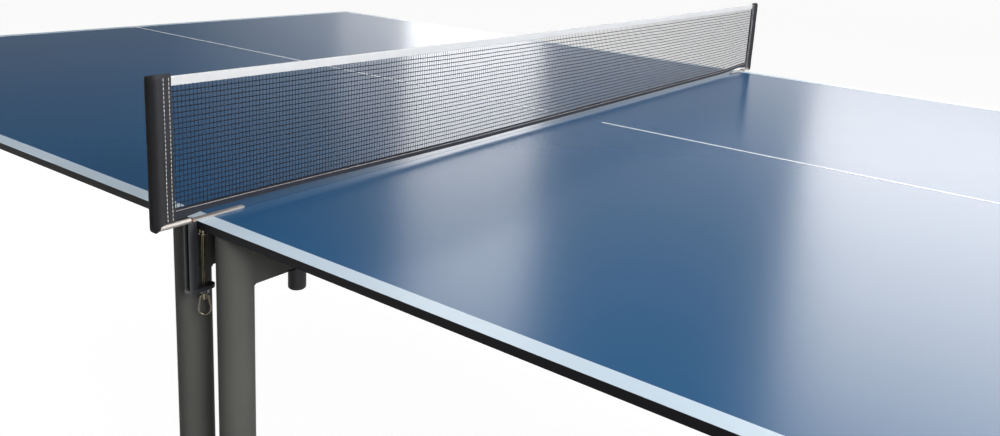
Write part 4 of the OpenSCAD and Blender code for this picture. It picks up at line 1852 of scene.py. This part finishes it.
@dataclass
class Studio:
    """The floor, the soft lamps, the pale surroundings and the camera.

    Attributes:
        ambient: How bright the surroundings are to a matt surface.
        floor_glow: How much the floor adds for the camera, so that it reads as white paper.
        canopy_foot: How high above the floor the canopy starts.
        canopy_tone: How bright the canopy is in reflections.
        canopy_dim: The share of its brightness that is left on its left side.
        canopy_turn: Between which directions it dims, in degrees from +X towards +Y.
        window_foot: The height that the windows' angles are taken from, which is the table's top.
        heading: How far the camera is turned to the left of +Y, in degrees.
        pitch: How far it looks up from level, in degrees.
        roll: How far it is turned about its own axis, in degrees.
        shift: How far its picture is shifted, in picture widths.
    """

    ambient: float = 0.09
    floor_size: float = 60.0
    floor_tone: float = 0.26
    floor_glow: float = 0.90
    canopy_radius: float = 200.0
    canopy_foot: float = 7.0
    canopy_tone: float = 0.36
    canopy_dim: float = 0.20
    canopy_turn: tuple[float, float] = (128.0, 147.0)
    window_far: float = 60.0
    window_foot: float = 0.76
    window_colour: Colour = (1.0, 0.97, 0.94)
    lamp_aim: tuple[float, float, float] = (0.0, 0.0, 0.5)
    camera_at: tuple[float, float, float] = (0.7884, -1.3024, 1.095)
    heading: float = 35.69
    pitch: float = -13.22
    roll: float = 3.198
    lens: float = 31.95
    shift: tuple[float, float] = (-0.0051, -0.0933)

    def build(self) -> None:
        """Build the studio."""
        bpy.context.scene.view_settings.view_transform = "Standard"
        self.world()
        self.floor()
        self.canopy()
        # Each lamp's place, the side of its square and its watts.
        self.lamp("key", (3.7, -1.7, 2.3), 1.8, 130.0)
        self.lamp("side", (3.6, 0.9, 2.3), 1.8, 70.0)
        self.lamp("top", (0.9, 1.4, 3.4), 1.6, 40.0)
        self.lamp("fill", (-3.4, -2.2, 2.6), 3.0, 8.0)
        self.lamp("back", (-3.0, 2.4, 1.3), 2.0, 60.0).visible_glossy = False
        # Each window's directions, its heights above the horizon and its brightness.
        self.window("wide_window", (80.0, 106.0), (10.0, 33.0), 2.75)
        self.window("high_window", (85.0, 104.0), (18.0, 30.0), 0.6)
        self.window("narrow_window", (123.6, 132.6), (4.0, 31.0), 2.4)
        self.window("dim_window", (132.6, 137.0), (3.0, 15.0), 0.42)
        self.camera()
        log.info("built the studio")

    def seen_directly(self, sketch: Sketch) -> Socket:
        """Return 1 for what the camera, mirrors and glass see, and 0 for light that falls on a surface."""
        path = sketch.add("LightPath")
        seen = sketch.math("MAXIMUM", path.outputs["Is Camera Ray"], path.outputs["Is Glossy Ray"])
        return sketch.math("MAXIMUM", seen, path.outputs["Is Transmission Ray"])

    def world(self) -> None:
        """Make the surroundings: white to the eye, and softer as light."""
        world = bpy.data.worlds.new("studio")
        bpy.context.scene.world = world
        world.use_nodes = True
        sketch = Sketch(world.node_tree)
        strength = sketch.ramp(self.seen_directly(sketch), 0.0, 1.0, self.ambient, 1.0)
        back = sketch.add("Background", color=WHITE, strength=strength)
        sketch.add("OutputWorld", surface=back.outputs[0])

    def floor(self) -> None:
        """Lay the pale floor."""
        floor = primitive("floor", "plane", size=self.floor_size)
        material, sketch = blank_material("floor")
        shader = sketch.add(
            "BsdfPrincipled",
            base_color=(self.floor_tone,) * 3,
            roughness=0.9,
            specular_ior_level=0.0,
            emission_color=WHITE,
            emission_strength=sketch.math("MULTIPLY", self.seen_directly(sketch), self.floor_glow),
        )
        sketch.add("OutputMaterial", surface=shader.outputs[0])
        floor.data.materials.append(material)

    def canopy(self) -> None:
        """Hang a dim canopy that only mirrors see, so that gloss is brightest near the horizon."""
        canopy = primitive("canopy", "uv_sphere", segments=48, ring_count=24, radius=self.canopy_radius)
        with editing(canopy):
            bpy.ops.mesh.bisect(plane_co=(0, 0, self.canopy_foot), plane_no=(0, 0, 1), clear_inner=True)
            bpy.ops.mesh.select_all(action="SELECT")
            bpy.ops.mesh.flip_normals()
        material, sketch = blank_material("canopy")
        parts = sketch.parts(sketch.coordinates("Object"))
        turn = sketch.math("ARCTAN2", parts["Y"], parts["X"])
        start, end = (math.radians(angle) for angle in self.canopy_turn)
        tone = sketch.ramp(turn, start, end, self.canopy_tone, self.canopy_dim * self.canopy_tone)
        rise = sketch.math("DIVIDE", parts["Z"], self.canopy_radius)
        # Between which heights its brightness changes, and its share of the brightness below and above them.
        for low, high, below, above in ((0.05, 0.30, 3.3, 1.0), (0.36, 0.55, 1.0, 0.55)):
            tone = sketch.math("MULTIPLY", tone, sketch.ramp(rise, low, high, below, above))
        glow = sketch.add("Emission", color=WHITE, strength=tone)
        sketch.add("OutputMaterial", surface=glow.outputs[0])
        canopy.data.materials.append(material)
        for ray in ("camera", "diffuse", "transmission", "volume_scatter", "shadow"):
            setattr(canopy, f"visible_{ray}", False)

    def window(self, name: str, across: tuple[float, float], up: tuple[float, float], tone: float) -> None:
        """Stand a tall bright window far away, under the canopy, to streak the lacquer.

        Args:
            name: The window's name.
            across: Where it starts and ends, in degrees from +X towards +Y.
            up: Where it starts and ends above the horizon, in degrees.
            tone: How bright it is, where 1 is white.
        """
        turn = math.radians(sum(across) / 2)
        low, high = (self.window_far * math.tan(math.radians(angle)) for angle in up)
        wide = 2 * self.window_far * math.tan(math.radians((across[1] - across[0]) / 2))
        ahead = Vector((math.cos(turn), math.sin(turn), 0))
        deselect()
        bpy.ops.object.light_add(
            type="AREA",
            location=self.window_far * ahead + Vector((0, 0, self.window_foot + (low + high) / 2)),
            rotation=(-ahead).to_track_quat("-Z", "Y").to_euler(),
        )
        light = bpy.context.object
        light.name = name
        light.data.shape = "RECTANGLE"
        light.data.size, light.data.size_y = wide, high - low
        light.data.energy = tone * math.pi * wide * (high - low)
        light.data.color = self.window_colour

    def lamp(self, name: str, place: tuple[float, float, float], size: float, power: float) -> Piece:
        """Hang a square soft lamp that faces the table.

        Args:
            name: The lamp's name.
            place: Where it hangs.
            size: The side of its square.
            power: Its power in watts.

        Returns:
            The lamp.
        """
        deselect()
        aim = (Vector(self.lamp_aim) - Vector(place)).to_track_quat("-Z", "Y").to_euler()
        bpy.ops.object.light_add(type="AREA", location=place, rotation=aim)
        light = bpy.context.object
        light.name = name
        light.data.size = size
        light.data.energy = power
        return light

    def camera(self) -> None:
        """Stand the camera in front of the near corner of the net."""
        deselect()
        bpy.ops.object.camera_add()
        camera = bpy.context.object
        turn = Matrix.Rotation(math.radians(self.heading), 4, "Z")
        tilt = Matrix.Rotation(math.radians(90.0 + self.pitch), 4, "X")
        lean = Matrix.Rotation(math.radians(self.roll), 4, "Z")
        camera.matrix_world = Matrix.Translation(self.camera_at) @ turn @ tilt @ lean
        camera.data.sensor_width = 36.0
        camera.data.lens = self.lens
        camera.data.shift_x, camera.data.shift_y = self.shift
        bpy.context.scene.camera = camera


def main() -> None:
    """Build and dress the whole table in its studio."""
    logging.basicConfig(level=logging.INFO, format="%(name)s: %(message)s")
    GROUPS.update(mottle=mottle_group(), grain=grain_group(), scratches=scratch_group(), weave=weave_group())
    Studio().build()
    for half in Half:
        TableHalf(half).build()
        for kind in Frame:
            LegFrame(half, kind).build()
    Hinges().build()
    Rails().build()
    Net().build()
    for side in Side:
        NetClamp(side).build()


if __name__ == "__main__":
    main()
